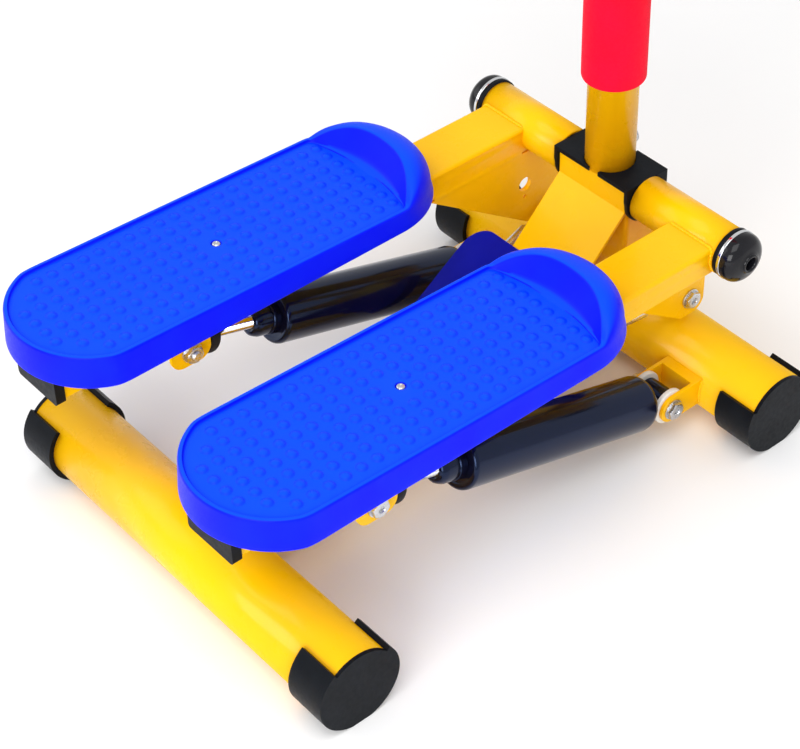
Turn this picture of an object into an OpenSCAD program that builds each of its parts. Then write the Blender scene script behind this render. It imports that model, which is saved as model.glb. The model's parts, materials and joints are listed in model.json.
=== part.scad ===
// Two-pedal stepper with hydraulic cylinders and a hand post.
// X is sideways (the user's right is +X), Y runs from the heels to the post, Z is up.
// Origin: on the floor, on the centre plane, under the middle of the machine's footprint.
// Parts are drawn with y = 0 at the pivot axle; at_axle() then moves them to the origin above.

/* [Base] */
// Outside diameter of the two cross tubes
base_tube_d = 60; // [58:1:61]
// Distance from the pivot axle back to the rear cross tube
rear_tube_y = 392; // [388:1:396]
// Distance from the pivot axle forward to the front cross tube
front_tube_y = 12; // [11:0.5:13]
// Overall width across the foot caps
base_width = 352; // [350:1:356]
// Height of the cross tubes' axes above the floor
base_axis_z = 33; // [33:0.5:33]
// Wall of the cross tubes
base_wall = 2; // [1.5:0.5:3]
// Width of the centre beam
beam_w = 50; // [48:1:52]
// Height of the centre beam
beam_h = 30; // [28:1:30]

/* [Pivot] */
// Height of the pivot axle above the floor
pivot_z = 162; // [162:0.5:163]
// Diameter of the axle
axle_d = 20; // [18:1:20]
// Outside diameter of the arm sleeves
sleeve_d = 35.6; // [35.6:0.2:36]
// Distance from the centre plane to a sleeve's outer end
sleeve_out = 124.2; // [123.5:0.1:124.5]
// Distance from the centre plane to a sleeve's inner end
sleeve_in = 40; // [40:0.5:42]
// Radial running clearance of the plastic bearings
run_gap = 0.06; // [0.03:0.01:0.09]

/* [Column] */
// Width of the column and of the sloping plate
col_w = 70; // [69:0.5:70.5]
// Depth of the column
col_d = 32; // [31:0.5:33]
// Top of the column head under the black covers
col_top = 174; // [173.5:0.5:174]
// Thickness of the sloping plate
brace_t = 2.5; // [2:0.5:3]

/* [Post] */
// Outside diameter of the post
post_d = 38; // [37.5:0.5:38]
// Height of the hand bar's axis
bar_z = 832; // [700:1:900]
// Outside diameter of the post's foam sleeve
foam_d = 48; // [46:1:50]
// Height of the foam sleeve's lower end
foam_z0 = 251; // [240:0.5:300]
// Height of the foam sleeve's upper end
foam_z1 = 770; // [500:1:790]
// Width of the hand bar
bar_w = 340; // [300:2:350]
// Outside diameter of the hand bar
bar_d = 25; // [22:1:28]

/* [Arms] */
// Distance from the centre plane to the inner face of an arm
arm_in = 76.7; // [76.5:0.1:77]
// Width of an arm tube
arm_w = 44.8; // [44:0.1:45]
// Height of the underside of an arm tube
arm_z0 = 147.1; // [147:0.1:147.5]
// Height of the top of an arm tube
arm_z1 = 170.3; // [170:0.1:170.5]
// Distance from the axle back to the arm tube's rear end
arm_len = 440; // [438:1:441]
// Thickness of the crank plate under each arm
crank_t = 4; // [3.5:0.5:4]

/* [Pedals] */
// Distance from the centre plane to the middle of a pedal
pedal_x = 101; // [100:0.5:102]
// Width of a pedal
pedal_w = 122; // [120:1:123]
// Distance from the axle back to the heel end of a pedal
pedal_heel = 456; // [454:1:458]
// Distance from the axle back to the toe end of a pedal
pedal_toe = 106; // [105:1:108]
// Height of the tread 300 mm behind the axle
tread_z = 190; // [189.5:0.1:190.5]
// Fall of the tread towards the toes, in degrees
tread_slope = 1.8; // [1.6:0.1:2]
// Height of the toe stop
toe_z = 205; // [202:0.5:208]

/* [Cylinders] */
// Distance from the centre plane to a cylinder's axis
cyl_x = 104; // [103.5:0.5:104.5]
// Outside diameter of a cylinder barrel
cyl_d = 42.6; // [41:0.2:43]
// Distance from the axle back to the front cylinder pin
pin_f_y = 46; // [45.5:0.5:46]
// Height of the front cylinder pin
pin_f_z = 35; // [35:0.5:35.5]
// Distance from the axle back to the rear cylinder pin
pin_r_y = 328.5; // [328:0.5:329]
// Height of the rear cylinder pin
pin_r_z = 120; // [119.5:0.5:120.5]
// Diameter of the piston rods
rod_d = 10; // [9:0.5:11]
// Diameter of the cylinder pins
pin_d = 8; // [8:0.5:8]

/* [Coupling] */
// Distance from the axle back to the rocker's pivot
rocker_y = 72; // [71:1:73]
// Distance from the centre plane to a link pin
rocker_arm = 55; // [54.5:0.5:55.5]
// Position of the crank bolt ahead of the axle
crank_y = 10; // [10:0.5:10.5]
// Height of the crank bolt
crank_z = 85.5; // [85:0.5:86]

/* [Hidden] */
$fn = 64;

hair = 0.05;  // hairline left between pieces that are only welded or pressed together
past = 1;     // how far a cutter runs past the face it opens
right = 1;
left = -1;

paint = "gold";
steel = "silver";
plastic = "#20242a";
foam = "red";
rubber = "#15171b";
barrel_black = "#10131c";

base_tube_r = base_tube_d / 2;
cap_wall = 4;                            // foot caps, outside the cross tubes
tube_end = base_width / 2 - 3;
mid_y = (pedal_heel - front_tube_y - base_tube_r - cap_wall) / 2;  // axle ahead of the origin
beam_z0 = 18;
beam_z1 = beam_z0 + beam_h;
col_half_w = col_w / 2;
col_front = 16.5;
col_back = col_front - col_d;
axle_r = axle_d / 2;
arm_out = arm_in + arm_w;
arm_h = arm_z1 - arm_z0;

// ---------- helpers ----------
module at_axle() translate([0, mid_y, 0]) children();
module both() { children(); mirror([1, 0, 0]) children(); }
// Children are drawn on the right; side is right or left
module on_side(side) { if (side > 0) children(); else mirror([1, 0, 0]) children(); }
// Extrudes a (y, z) outline from x0 to x1
module along_x(x0, x1) translate([x0, 0, 0]) rotate([90, 0, 90]) linear_extrude(x1 - x0) children();
// Extrudes an (x, z) outline towards -Y
module along_back(len) rotate([90, 0, 0]) linear_extrude(len) children();
module rod_x(x0, x1, y, z, r) translate([x0, y, z]) rotate([0, 90, 0]) cylinder(h = x1 - x0, r = r);
module tube_x(x0, x1, y, z, r, bore_r) difference() {
    rod_x(x0, x1, y, z, r);
    rod_x(x0 - past, x1 + past, y, z, bore_r);
}
// Rectangle with rounded corners, from the origin
module rounded_rect(w, h, r) {
    translate([r, 0]) square([w - 2 * r, h]);
    translate([0, r]) square([w, h - 2 * r]);
    for (x = [r, w - r], y = [r, h - r]) translate([x, y]) circle(r = r);
}
// Sleeve along +Z with bevelled outer edges
module bevelled_sleeve(bore_r, r, len, bevel = 1.5) rotate_extrude() polygon([
    [bore_r, 0], [r - bevel, 0], [r, bevel],
    [r, len - bevel], [r - bevel, len], [bore_r, len]]);
// Screw head along +Z with a hexagon socket in its top
module socket_head(h, r, socket_z, socket_r) difference() {
    cylinder(h = h, r = r);
    translate([0, 0, socket_z]) cylinder(h = h, r = socket_r, $fn = 6);
}

// Pin and crank bolts, lying along X
bolt_head_r = 7.4;
bolt_dish_r = 3.5;
module dished_head(x, y, z) difference() {
    rod_x(x, x + 5, y, z, bolt_head_r);
    rod_x(x + 3.2, x + 6, y, z, bolt_dish_r);
}
module nut(x, y, z, h, bolt_r) difference() {
    translate([x, y, z]) rotate([0, 90, 0]) cylinder(h = h, r = bolt_head_r, $fn = 6);
    rod_x(x - past, x + h + past, y, z, bolt_r + hair);
}
// Shank through x0 to x1, head outside x1, nut outside x0
module pin_bolt(x0, x1, y, z) {
    rod_x(x0 - 7.5, x1 + hair, y, z, pin_d / 2);
    difference() {
        dished_head(x1, y, z);
        rod_x(x1 - past, x1 + 3, y, z, pin_d / 2 + hair);
    }
    nut(x0 - 6.2, y, z, 6, pin_d / 2);
}

// ---------- base ----------
module cross_tube(y) color(paint)
    tube_x(-tube_end, tube_end, y, base_axis_z, base_tube_r, base_tube_r - base_wall);
module rear_base_tube() at_axle() cross_tube(-rear_tube_y);
module front_base_tube() at_axle() cross_tube(front_tube_y);

beam_wall = 2;
module centre_beam() at_axle() color(paint) difference() {
    len = front_tube_y + rear_tube_y;
    translate([-beam_w / 2, front_tube_y, beam_z0]) along_back(len) rounded_rect(beam_w, beam_h, 3);
    translate([-beam_w / 2 + beam_wall, -rear_tube_y - past, beam_z0 + beam_wall])
        cube([beam_w - 2 * beam_wall, len + 2 * past, beam_h - 2 * beam_wall]);
    for (y = [-rear_tube_y, front_tube_y])
        rod_x(-beam_w, beam_w, y, base_axis_z, base_tube_r + hair);
    // ends at the back of the column
    translate([-beam_w, col_back - hair, beam_z0 - 5]) cube([2 * beam_w, 60, 80]);
    translate([0, -rocker_y, 15]) cylinder(h = 50, r = 5.1);
    at_cover_screws() translate([0, 0, -30]) cylinder(h = 60, r = 2.1);
}

// ---------- foot caps ----------
cap_in = 142;    // inner end of a cap
notch_h = 72.5;  // height of the wedge that cuts the notch
// The notch bares the top of the tube; it opens by half_angle either way and is turned about X
module foot_cap(side, y, turn, half_angle) {
    half_w = notch_h * tan(half_angle);
    wedge = [[0, 0], [half_w, notch_h], [-half_w, notch_h]];
    color(plastic) on_side(side) translate([0, y, base_axis_z]) difference() {
        rod_x(cap_in, base_width / 2, 0, 0, base_tube_r + cap_wall);
        rod_x(cap_in - past, tube_end + hair, 0, 0, base_tube_r + hair);
        rotate([turn, 0, 0]) {
            along_x(cap_in - past, tube_end + hair) polygon(wedge);
            // the end disc is flush with the tube over the notch
            along_x(tube_end, tube_end + 20) difference() {
                polygon(wedge);
                circle(r = base_tube_r + 0.2);
            }
        }
        // flat underside on the floor
        translate([100, -60, -base_axis_z - 20]) cube([100, 120, 20]);
    }
}
module rear_foot_cap_right() at_axle() foot_cap(right, -rear_tube_y, -7, 44);
module rear_foot_cap_left() at_axle() foot_cap(left, -rear_tube_y, 2, 44);
module front_foot_cap_right() at_axle() foot_cap(right, front_tube_y, 5, 56);
module front_foot_cap_left() at_axle() foot_cap(left, front_tube_y, 9, 51);

// ---------- column and head ----------
hub_r = 11.3;
col_wall = 2.5;
band_y = col_back - brace_t - hair;  // outer face of the sloping plate's upright band
slope_rise = 172.5;                  // the plate's 45 degree face lies on z = y + slope_rise
bend_z = band_y + slope_rise;
slope_end = beam_z1 - slope_rise;    // where that face reaches the beam
module column() at_axle() color(paint) difference() {
    translate([-col_half_w, col_back, base_axis_z])
        linear_extrude(col_top - base_axis_z) rounded_rect(col_w, col_d, 3);
    translate([-col_half_w + col_wall, col_back + col_wall, 20])
        cube([col_w - 2 * col_wall, col_d - 2 * col_wall, col_top - 20 - col_wall]);
    rod_x(-col_half_w - 5, col_half_w + 5, front_tube_y, base_axis_z, base_tube_r + hair);
    rod_x(-col_half_w - 5, col_half_w + 5, 0, pivot_z, hub_r + hair);
}
module brace_plate() at_axle() color(paint) along_x(-col_half_w, col_half_w) polygon([
    [band_y, col_top],
    [band_y, bend_z],
    [slope_end, beam_z1 + hair],
    [slope_end + brace_t * sqrt(2), beam_z1 + hair],
    [band_y + brace_t, bend_z - brace_t * (sqrt(2) - 1)],
    [band_y + brace_t, col_top]]);
module hub_tube() at_axle() color(paint)
    tube_x(-col_half_w - 0.5, col_half_w + 0.5, 0, pivot_z, hub_r, axle_r + hair);

roof_z = 177.6;
shoulder_z = 166;           // where a cheek starts to narrow
cheek_r = 19.4;
hub_cover_out = 39;
hub_cover_front = 21.5;
hub_cover_back = band_y - 2.2;
// One half: a flat roof on the head, a front lip and a cheek outside the column
module hub_cover_half(side, x_in) color(plastic) on_side(side) difference() {
    union() {
        translate([x_in, hub_cover_back, col_top + hair])
            cube([hub_cover_out - x_in, hub_cover_front - hub_cover_back, roof_z - col_top - hair]);
        translate([x_in, col_front + hair, 165])
            cube([hub_cover_out - x_in, hub_cover_front - col_front - hair, 10]);
        along_x(col_half_w + hair + 0.5, hub_cover_out) union() {
            polygon([[hub_cover_back, roof_z], [hub_cover_back, shoulder_z], [-cheek_r, pivot_z],
                     [cheek_r, pivot_z], [hub_cover_front, shoulder_z], [hub_cover_front, roof_z]]);
            intersection() {
                translate([0, pivot_z]) circle(r = cheek_r);
                translate([-30, pivot_z - 40]) square([60, 40.1]);
            }
        }
    }
    rod_x(col_half_w - 5, 50, 0, pivot_z, axle_r + 0.4);
    translate([0, 0, 160]) cylinder(h = 30, r = post_d / 2 + 0.3);
}
module hub_cover_right() at_axle() hub_cover_half(right, 7.5);
module hub_cover_left() at_axle() hub_cover_half(left, 1.5);

// ---------- post ----------
post_r = post_d / 2;
post_wall = 1.5;
post_bolt_z = 188;
// Children drawn along +Z point forwards from the post's axis
module on_post_bolt() translate([0, 0, post_bolt_z]) rotate([-90, 0, 0]) children();
module post_bolt_hole() on_post_bolt() cylinder(h = 40, r = 3.1);
module post_spigot() at_axle() color(paint) difference() {
    translate([0, 0, col_top + hair]) cylinder(h = 70, r = post_r - 1.6);
    translate([0, 0, col_top - past]) cylinder(h = 80, r = post_r - 4);
    post_bolt_hole();
}
module post_tube() at_axle() color(paint) difference() {
    translate([0, 0, col_top + hair]) cylinder(h = bar_z - col_top, r = post_r);
    translate([0, 0, col_top - past]) cylinder(h = bar_z - col_top + 4, r = post_r - post_wall);
    post_bolt_hole();
    rod_x(-40, 40, 0, bar_z, bar_d / 2 + hair);
}
module post_foam() at_axle() color(foam)
    translate([0, 0, foam_z0]) bevelled_sleeve(post_r + hair, foam_d / 2, foam_z1 - foam_z0);
module post_bolt() at_axle() color(steel) on_post_bolt() {
    translate([0, 0, 6]) cylinder(h = post_r - 5.9, r = 3);
    translate([0, 0, post_r + hair]) socket_head(h = 4, r = 6.5, socket_z = 2.2, socket_r = 3);
}

bar_r = bar_d / 2;
bar_end = bar_w / 2;
bar_wall = 1.5;
grip_in = 48;
module handlebar() at_axle() color(paint)
    tube_x(-bar_end, bar_end, 0, bar_z, bar_r, bar_r - bar_wall);
module handlebar_grips() at_axle() color(foam) both() translate([grip_in, 0, bar_z])
    rotate([0, 90, 0]) bevelled_sleeve(bar_r + hair, 17, bar_end - grip_in - 2.5);
module handlebar_plugs() at_axle() color(plastic) both() {
    rod_x(bar_end + hair, bar_end + 3, 0, bar_z, bar_r);
    rod_x(bar_end - 14, bar_end + 1, 0, bar_z, bar_r - 1.6);
}

// ---------- axle ----------
axle_out = 128.1;               // end of the axle
washer_out = axle_out + 2.8;
module axle() at_axle() color(steel) difference() {
    rod_x(-axle_out, axle_out, 0, pivot_z, axle_r);
    both() rod_x(axle_out - 22, axle_out + past, 0, pivot_z, 4.05);
}
module axle_washers() at_axle() color(steel) both()
    tube_x(axle_out + hair, washer_out, 0, pivot_z, 19.6, 4.1);
module axle_screws() at_axle() color(steel) both() {
    rod_x(axle_out - 20, washer_out, 0, pivot_z, 4);
    translate([washer_out, 0, pivot_z]) rotate([0, 90, 0])
        socket_head(h = 5.3, r = 6.5, socket_z = 2.3, socket_r = 3.4);
}
// Section of an axle cap: radius, distance out from the washer
axle_cap_section = concat(
    [[7, 0], [19.1, 0]],
    [for (a = [0:12:84]) [9.1 + 10 * cos(a), 3.4 + 10.2 * sin(a)]],
    [[7.4, 13.6], [6.8, 14.8], [5.4, 14.8], [4.6, 13.8], [4.2, 9.5], [7, 8.8]]);
module axle_caps() at_axle() color(rubber) both()
    translate([axle_out + 2.9, 0, pivot_z]) rotate([0, 90, 0])
        rotate_extrude() polygon(axle_cap_section);

// ---------- cylinder brackets on the front tube ----------
bracket_in = cyl_x - 18;
bracket_out = cyl_x + 18;
bracket_wall = 3;
bracket_r = 11.5;
washer_t = 4;
module bracket_outline() difference() {
    union() {
        translate([-pin_f_y, pin_f_z]) circle(r = bracket_r);
        translate([-pin_f_y, pin_f_z - bracket_r]) square([40, 2 * bracket_r]);
    }
    translate([front_tube_y, base_axis_z]) circle(r = base_tube_r + hair, $fn = 96);
}
module cylinder_bracket(side) color(paint) on_side(side) difference() {
    along_x(bracket_in, bracket_out) bracket_outline();
    // slot open to the rear
    translate([bracket_in + bracket_wall, -80, 0])
        cube([bracket_out - bracket_in - 2 * bracket_wall, 80 - 24.8, 80]);
    rod_x(bracket_in - 5, bracket_out + 5, -pin_f_y, pin_f_z, pin_d / 2 + hair);
}
module cylinder_bracket_right() at_axle() cylinder_bracket(right);
module cylinder_bracket_left() at_axle() cylinder_bracket(left);
module bracket_bolts() at_axle() color(steel) both()
    pin_bolt(bracket_in, bracket_out, -pin_f_y, pin_f_z);
module bracket_washers() at_axle() color("white") both()
    for (x = [bracket_in + bracket_wall + hair, bracket_out - bracket_wall - hair - washer_t])
        tube_x(x, x + washer_t, -pin_f_y, pin_f_z, 14.5, pin_d / 2 + 0.1);

// ---------- rocker that ties the arms together ----------
rocker_t = 7;
rocker_z0 = beam_z1 + 18;
rocker_z1 = rocker_z0 + rocker_t;
rocker_bolt_r = 5;
rocker_head_z = rocker_z1 + 0.6;
rocker_end_r = 9;
module rocker_bolt() at_axle() color(steel) translate([0, -rocker_y, 0]) {
    translate([0, 0, 22]) cylinder(h = rocker_head_z - 22, r = rocker_bolt_r);
    // spacer on the beam
    difference() {
        translate([0, 0, beam_z1 + hair]) cylinder(h = rocker_z0 - beam_z1 - 0.3, r = 12);
        translate([0, 0, beam_z1 - past]) cylinder(h = 30, r = rocker_bolt_r + hair);
    }
    translate([0, 0, rocker_head_z]) socket_head(h = 7, r = 9, socket_z = 4, socket_r = 4.2);
}
module rocker_bar() at_axle() color(steel) translate([0, -rocker_y, 0]) difference() {
    union() {
        translate([-rocker_arm, -rocker_end_r, rocker_z0])
            cube([2 * rocker_arm, 2 * rocker_end_r, rocker_t]);
        translate([0, 0, rocker_z0]) cylinder(h = rocker_t, r = 15);
        // rounded ends, each with an upright pin and its collar
        for (x = [-rocker_arm, rocker_arm]) {
            translate([x, 0, rocker_z0]) cylinder(h = rocker_t, r = rocker_end_r);
            translate([x, 0, rocker_z0 + 1]) cylinder(h = 20, r = 4);
            translate([x, 0, rocker_z1 + 12.2]) cylinder(h = 1.8, r = 6.2);
        }
    }
    translate([0, 0, rocker_z0 - past]) cylinder(h = 12, r = rocker_bolt_r + 0.06);
}

crank_bolt_r = 4;
link_x = 72.3;             // middle of a link's front eye
link_eye_z = rocker_z1 + 5.2;  // middle of a link's rear eye
// The front eye turns on the crank bolt, the rear eye sits loosely on the rocker's pin
module link(side) {
    front = [link_x, crank_y, crank_z];
    rear = [rocker_arm, -rocker_y, link_eye_z];
    run = rear - front;
    len = norm(run);
    color(steel) on_side(side) difference() {
        union() {
            rod_x(link_x - 3.6, link_x + 3.6, crank_y, crank_z, 9);
            translate(rear - [0, 0, 3.5]) cylinder(h = 7, r = 9.4);
            translate(front + run * (8 / len))
                rotate([0, acos(run[2] / len), atan2(run[1], run[0])]) {
                    cylinder(h = len - 16, r = 3.4);
                    translate([0, 0, 26]) cylinder(h = 24, r = 5.4);
                }
        }
        rod_x(link_x - 9, link_x + 9, crank_y, crank_z, crank_bolt_r + run_gap);
        translate(rear - [0, 0, 9]) cylinder(h = 18, r = 5.9);
    }
}
module right_link() at_axle() link(right);
module left_link() at_axle() link(left);

// ---------- cover between the arms ----------
cover_x = 73;          // half width
cover_front = -65.8;
cover_back = -152;
cover_z = 108;         // height of the top face at its front edge
cover_angle = 34;      // the top face falls to the rear
cover_wall = 2.5;
function cover_top(y) = cover_z + (y - cover_front) * tan(cover_angle);
// Plan outline, front corners rounded
module cover_outline(inset) {
    half_w = cover_x - inset;
    r = 18 - inset;
    translate([-half_w, cover_back]) square([2 * half_w, cover_front - r - cover_back]);
    translate([-half_w + r, cover_front - r - 1]) square([2 * half_w - 2 * r, r + 1]);
    for (x = [r - half_w, half_w - r]) translate([x, cover_front - r]) circle(r = r);
}
module centre_cover() at_axle() color("#10189a") difference() {
    front = cover_front + past;
    back = cover_back - past;
    back_in = cover_back + cover_wall;
    intersection() {
        linear_extrude(140) cover_outline(0);
        along_x(-cover_x - past, cover_x + past) polygon([
            [front, cover_top(front)], [back, cover_top(back)],
            [back, cover_top(back) - 12], [front, cover_top(front) - 12]]);
    }
    // hollow underside
    intersection() {
        linear_extrude(140) cover_outline(cover_wall);
        along_x(-cover_x - past, cover_x + past) polygon([
            [front, cover_top(front) - 3], [back_in, cover_top(back_in) - 3],
            [back_in, -50], [front, -50]]);
    }
    // seat on the sloping plate and on the beam
    along_x(-col_half_w - 0.4, col_half_w + 0.4) polygon([
        [-60, 113.5], [slope_end, beam_z1], [slope_end, 0], [-50, 0], [-50, 122]]);
    translate([-beam_w / 2 - 0.4, cover_back - 5, 0]) cube([beam_w + 0.8, 100, beam_z1 + hair]);
    at_cover_screws() translate([0, 0, -20]) cylinder(h = 40, r = 2.2);
}
// Z = 0 on the top face, square to it
module at_cover_screws() for (x = [-14, 14])
    translate([x, -140, cover_top(-140)]) rotate([cover_angle, 0, 0]) children();
module cover_screws() at_axle() color(steel) at_cover_screws() {
    translate([0, 0, -18]) cylinder(h = 18.1 + hair, r = 2);
    translate([0, 0, hair]) socket_head(h = 2.2, r = 4, socket_z = 1, socket_r = 1.6);
}

// ---------- pedal arms ----------
arm_wall = 2;
sleeve_r = sleeve_d / 2;
bush_r = 14.7;
low_screw_ys = [-190, -400];  // pedal screws from below
mid_screw_y = -289;           // pedal screw from above
pedal_screw_ys = concat(low_screw_ys, [mid_screw_y]);
tread_ref_y = -300;           // where the tread is at tread_z
mid_screw_z = tread_z - (mid_screw_y - tread_ref_y) * tan(tread_slope);  // tread height there
lug_in = 2 * cyl_x - arm_out;  // the lug is centred on the cylinder

module arm_tube(side) color(paint) on_side(side) difference() {
    translate([arm_in, 0, arm_z0]) along_back(arm_len) rounded_rect(arm_w, arm_h, 3);
    translate([arm_in + arm_wall, -arm_len - past, arm_z0 + arm_wall])
        cube([arm_w - 2 * arm_wall, arm_len - 24, arm_h - 2 * arm_wall]);
    rod_x(arm_in - 5, arm_out + 5, 0, pivot_z, sleeve_r + hair);
    for (y = pedal_screw_ys) translate([pedal_x, y, arm_z0 - 5]) cylinder(h = 60, r = 2.1);
}
module sleeve(side) color(paint) on_side(side)
    tube_x(sleeve_in, sleeve_out, 0, pivot_z, sleeve_r, bush_r + hair);
module bushings(side) color(plastic) on_side(side) {
    // the outer one has a broad flange that shows as a black ring
    difference() {
        union() {
            rod_x(sleeve_out - 24, sleeve_out + 1, 0, pivot_z, bush_r);
            rod_x(sleeve_out + hair, sleeve_out + 3.8, 0, pivot_z, 19);
        }
        rod_x(sleeve_out - 30, sleeve_out + 6, 0, pivot_z, axle_r + run_gap);
    }
    tube_x(sleeve_in + 0.2, sleeve_in + 24, 0, pivot_z, bush_r, axle_r + run_gap);
}
module crank_plate(side) color(paint) on_side(side) difference() {
    top = arm_z0 - hair;
    along_x(arm_in, arm_in + crank_t) difference() {
        union() {
            polygon([[-110, top], [1.5, 69.7], [14, 69.7], [25, 80.6],
                     [25, 143], [14, 152], [0, 152], [-10, top]]);
            translate([14, 80.7]) circle(r = 11);
        }
        translate([0, pivot_z]) circle(r = sleeve_r + hair);
        translate([-30, top]) square([30, 20]);
    }
    // holes: y, z, radius
    for (hole = [[crank_y, crank_z, 4.1], [-14, 116.6, 6.2], [-14, 104.8, 1.7]])
        rod_x(arm_in - 5, arm_in + 9, hole[0], hole[1], hole[2]);
}
// U of plate welded under the arm tube; its outer face is flush with the tube
module cylinder_lug(side) {
    wall = 3;
    r = 11;
    back = -335;   // centres of the rounded lower corners
    front = -322;
    corner_z = 119;
    top = arm_z0 - hair;
    color(paint) on_side(side) difference() {
        along_x(lug_in, arm_out) union() {
            polygon([[back - r, top], [back - r, corner_z], [back, corner_z - r],
                     [front, corner_z - r], [front + r, corner_z], [front + r, top]]);
            for (y = [back, front]) translate([y, corner_z]) circle(r = r);
        }
        translate([lug_in + wall, -360, 90])
            cube([arm_out - lug_in - 2 * wall, 70, arm_z0 - wall - 90]);
        rod_x(lug_in - 5, arm_out + 5, -pin_r_y, pin_r_z, pin_d / 2 + hair);
    }
}
module end_plug(side) {
    lip = 1.4;
    plug_inset = 2.1;
    color(plastic) on_side(side) union() {
        difference() {
            translate([arm_in - lip, -arm_len + 0.6, arm_z0 - 1.2])
                along_back(7.6) rounded_rect(arm_w + 2 * lip, arm_h + 1.15, 3);
            translate([arm_in - hair, -arm_len - hair, arm_z0 - hair])
                cube([arm_w + 2 * hair, 40, 60]);
        }
        translate([arm_in + plug_inset, -arm_len - 2, arm_z0 + plug_inset])
            cube([arm_w - 2 * plug_inset, 16, arm_h - 2 * plug_inset]);
    }
}
module arm_bolts(side) color(steel) on_side(side) {
    pin_bolt(lug_in, arm_out, -pin_r_y, pin_r_z);
    // crank bolt: head outside the plate, link eye and nut inside
    crank_out = arm_in + crank_t;
    rod_x(link_x - 12.5, crank_out + hair, crank_y, crank_z, crank_bolt_r);
    dished_head(crank_out, crank_y, crank_z);
    nut(link_x - 11.2, crank_y, crank_z, 6.2, crank_bolt_r);
    // pedal screws from below
    for (y = low_screw_ys) translate([pedal_x, y, arm_z0 - 3.5]) {
        translate([0, 0, 3]) cylinder(h = arm_h + 8, r = 2);
        difference() {
            cylinder(h = 3.4, r = 4.5);
            translate([0, 0, -past]) cylinder(h = 2.6, r = 2, $fn = 6);
        }
    }
    // middle pedal screw, from above
    translate([pedal_x, mid_screw_y, arm_z0 - 1]) cylinder(h = mid_screw_z - arm_z0 + 0.8, r = 2);
    translate([pedal_x, mid_screw_y, mid_screw_z - 0.3]) cylinder(h = 1.1, r = 3);
}

// ---------- pedal ----------
pedal_half_w = pedal_w / 2;
heel_r = pedal_half_w + 4;
toe_y = -(pedal_toe + pedal_half_w);         // centre of the toe curve
heel_y = -(pedal_heel - heel_r);             // centre of the heel curve
heel_angle = acos(pedal_half_w / heel_r);    // where the heel curve meets the sides
rib_t = 2.5;
// Turns children about X into the tread's slope
module tilted() translate([0, tread_ref_y, tread_z]) rotate([-tread_slope, 0, 0])
    translate([0, -tread_ref_y, -tread_z]) children();
function arc(y, rx, ry, a0, a1, steps = 24) = [for (i = [0:steps])
    let (a = a0 + (a1 - a0) * i / steps) [rx * cos(a), y + ry * sin(a)]];
// Plan of the pedal, from height z up by h; toe_in draws the toe in further than inset
module pedal_slab(z, h, inset, toe_in) translate([0, 0, z]) linear_extrude(h) polygon(concat(
    arc(toe_y, pedal_half_w - inset, pedal_half_w - inset - toe_in, 0, 180),
    arc(heel_y, heel_r - inset, heel_r - inset, 180 + heel_angle, 360 - heel_angle)));
module pedal_body(bottom) {
    hull() {
        pedal_slab(bottom, 1, 0, 0);
        tilted() pedal_slab(tread_z + 1, 1, 1.5, 3);
    }
    // toe stop
    intersection() {
        hull() {
            tilted() pedal_slab(tread_z - 6, 1, 1.5, 3);
            pedal_slab(toe_z - 1, 1, 8, 7);
        }
        along_x(-80, 80) polygon([
            [-178, tread_z - 14], [-178, tread_z - 4.5], [-152, tread_z - 5], [-142, toe_z - 3],
            [-137, toe_z + 1], [-100, toe_z + 1], [-100, tread_z - 14]]);
    }
}
// Space above the tread, which lies two millimetres below the rim
module tread_cut() difference() {
    tilted() pedal_slab(tread_z, 40, 4.5, 5);
    along_x(-80, 80) polygon([
        [-153, tread_z - 14], [-142, toe_z - 3], [-137, toe_z + 1],
        [-90, toe_z + 30], [-90, tread_z - 14]]);
}
// Hollow underside, less two long ribs, five cross ribs and the screw bosses
module underside_cut(bottom) difference() {
    intersection() {
        pedal_slab(bottom - 1, 40, 4, 8);
        tilted() translate([-90, -500, tread_z - 63]) cube([180, 500, 60]);
    }
    translate([0, 0, bottom - 2]) {
        for (x = [-17, 17]) translate([x - rib_t / 2, -500, 0]) cube([rib_t, 500, 40]);
        for (y = concat(pedal_screw_ys, [-345, -235]))
            translate([-80, y - rib_t / 2, 0]) cube([160, rib_t, 40]);
        for (y = pedal_screw_ys) translate([0, y, 0]) cylinder(h = 40, r = 6);
    }
}
module pedal(side) {
    bottom = arm_z1 + 0.1;
    color("#1450ff") on_side(side) translate([pedal_x, 0, 0]) difference() {
        union() pedal_body(bottom);
        tread_cut();
        underside_cut(bottom);
        for (y = low_screw_ys) translate([0, y, bottom - 2]) cylinder(h = 12, r = 2.1);
        translate([0, mid_screw_y, bottom - 2]) cylinder(h = 60, r = 2.1);
        translate([0, mid_screw_y, mid_screw_z - 0.4]) cylinder(h = 10, r = 3.1);
    }
}

// ---------- hydraulic cylinders ----------
// Drawn with the front pin at the origin and the axis along +X, then placed.
cyl_len = norm([pin_r_y - pin_f_y, pin_r_z - pin_f_z]);  // pin to pin
cyl_tilt = atan2(pin_r_z - pin_f_z, pin_r_y - pin_f_y);
cyl_r = cyl_d / 2;
rod_r = rod_d / 2;
rod_end = cyl_len - 9.5;
barrel_start = 16;
barrel_end = 208;
gland_end = 230;
gland_neck_r = 9;
module on_cyl(side) on_side(side) translate([cyl_x, -pin_f_y, pin_f_z])
    rotate([-cyl_tilt, 0, 0]) rotate([0, 0, -90]) children();
module axial_rod(x0, x1, r) rod_x(x0, x1, 0, 0, r);
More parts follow.
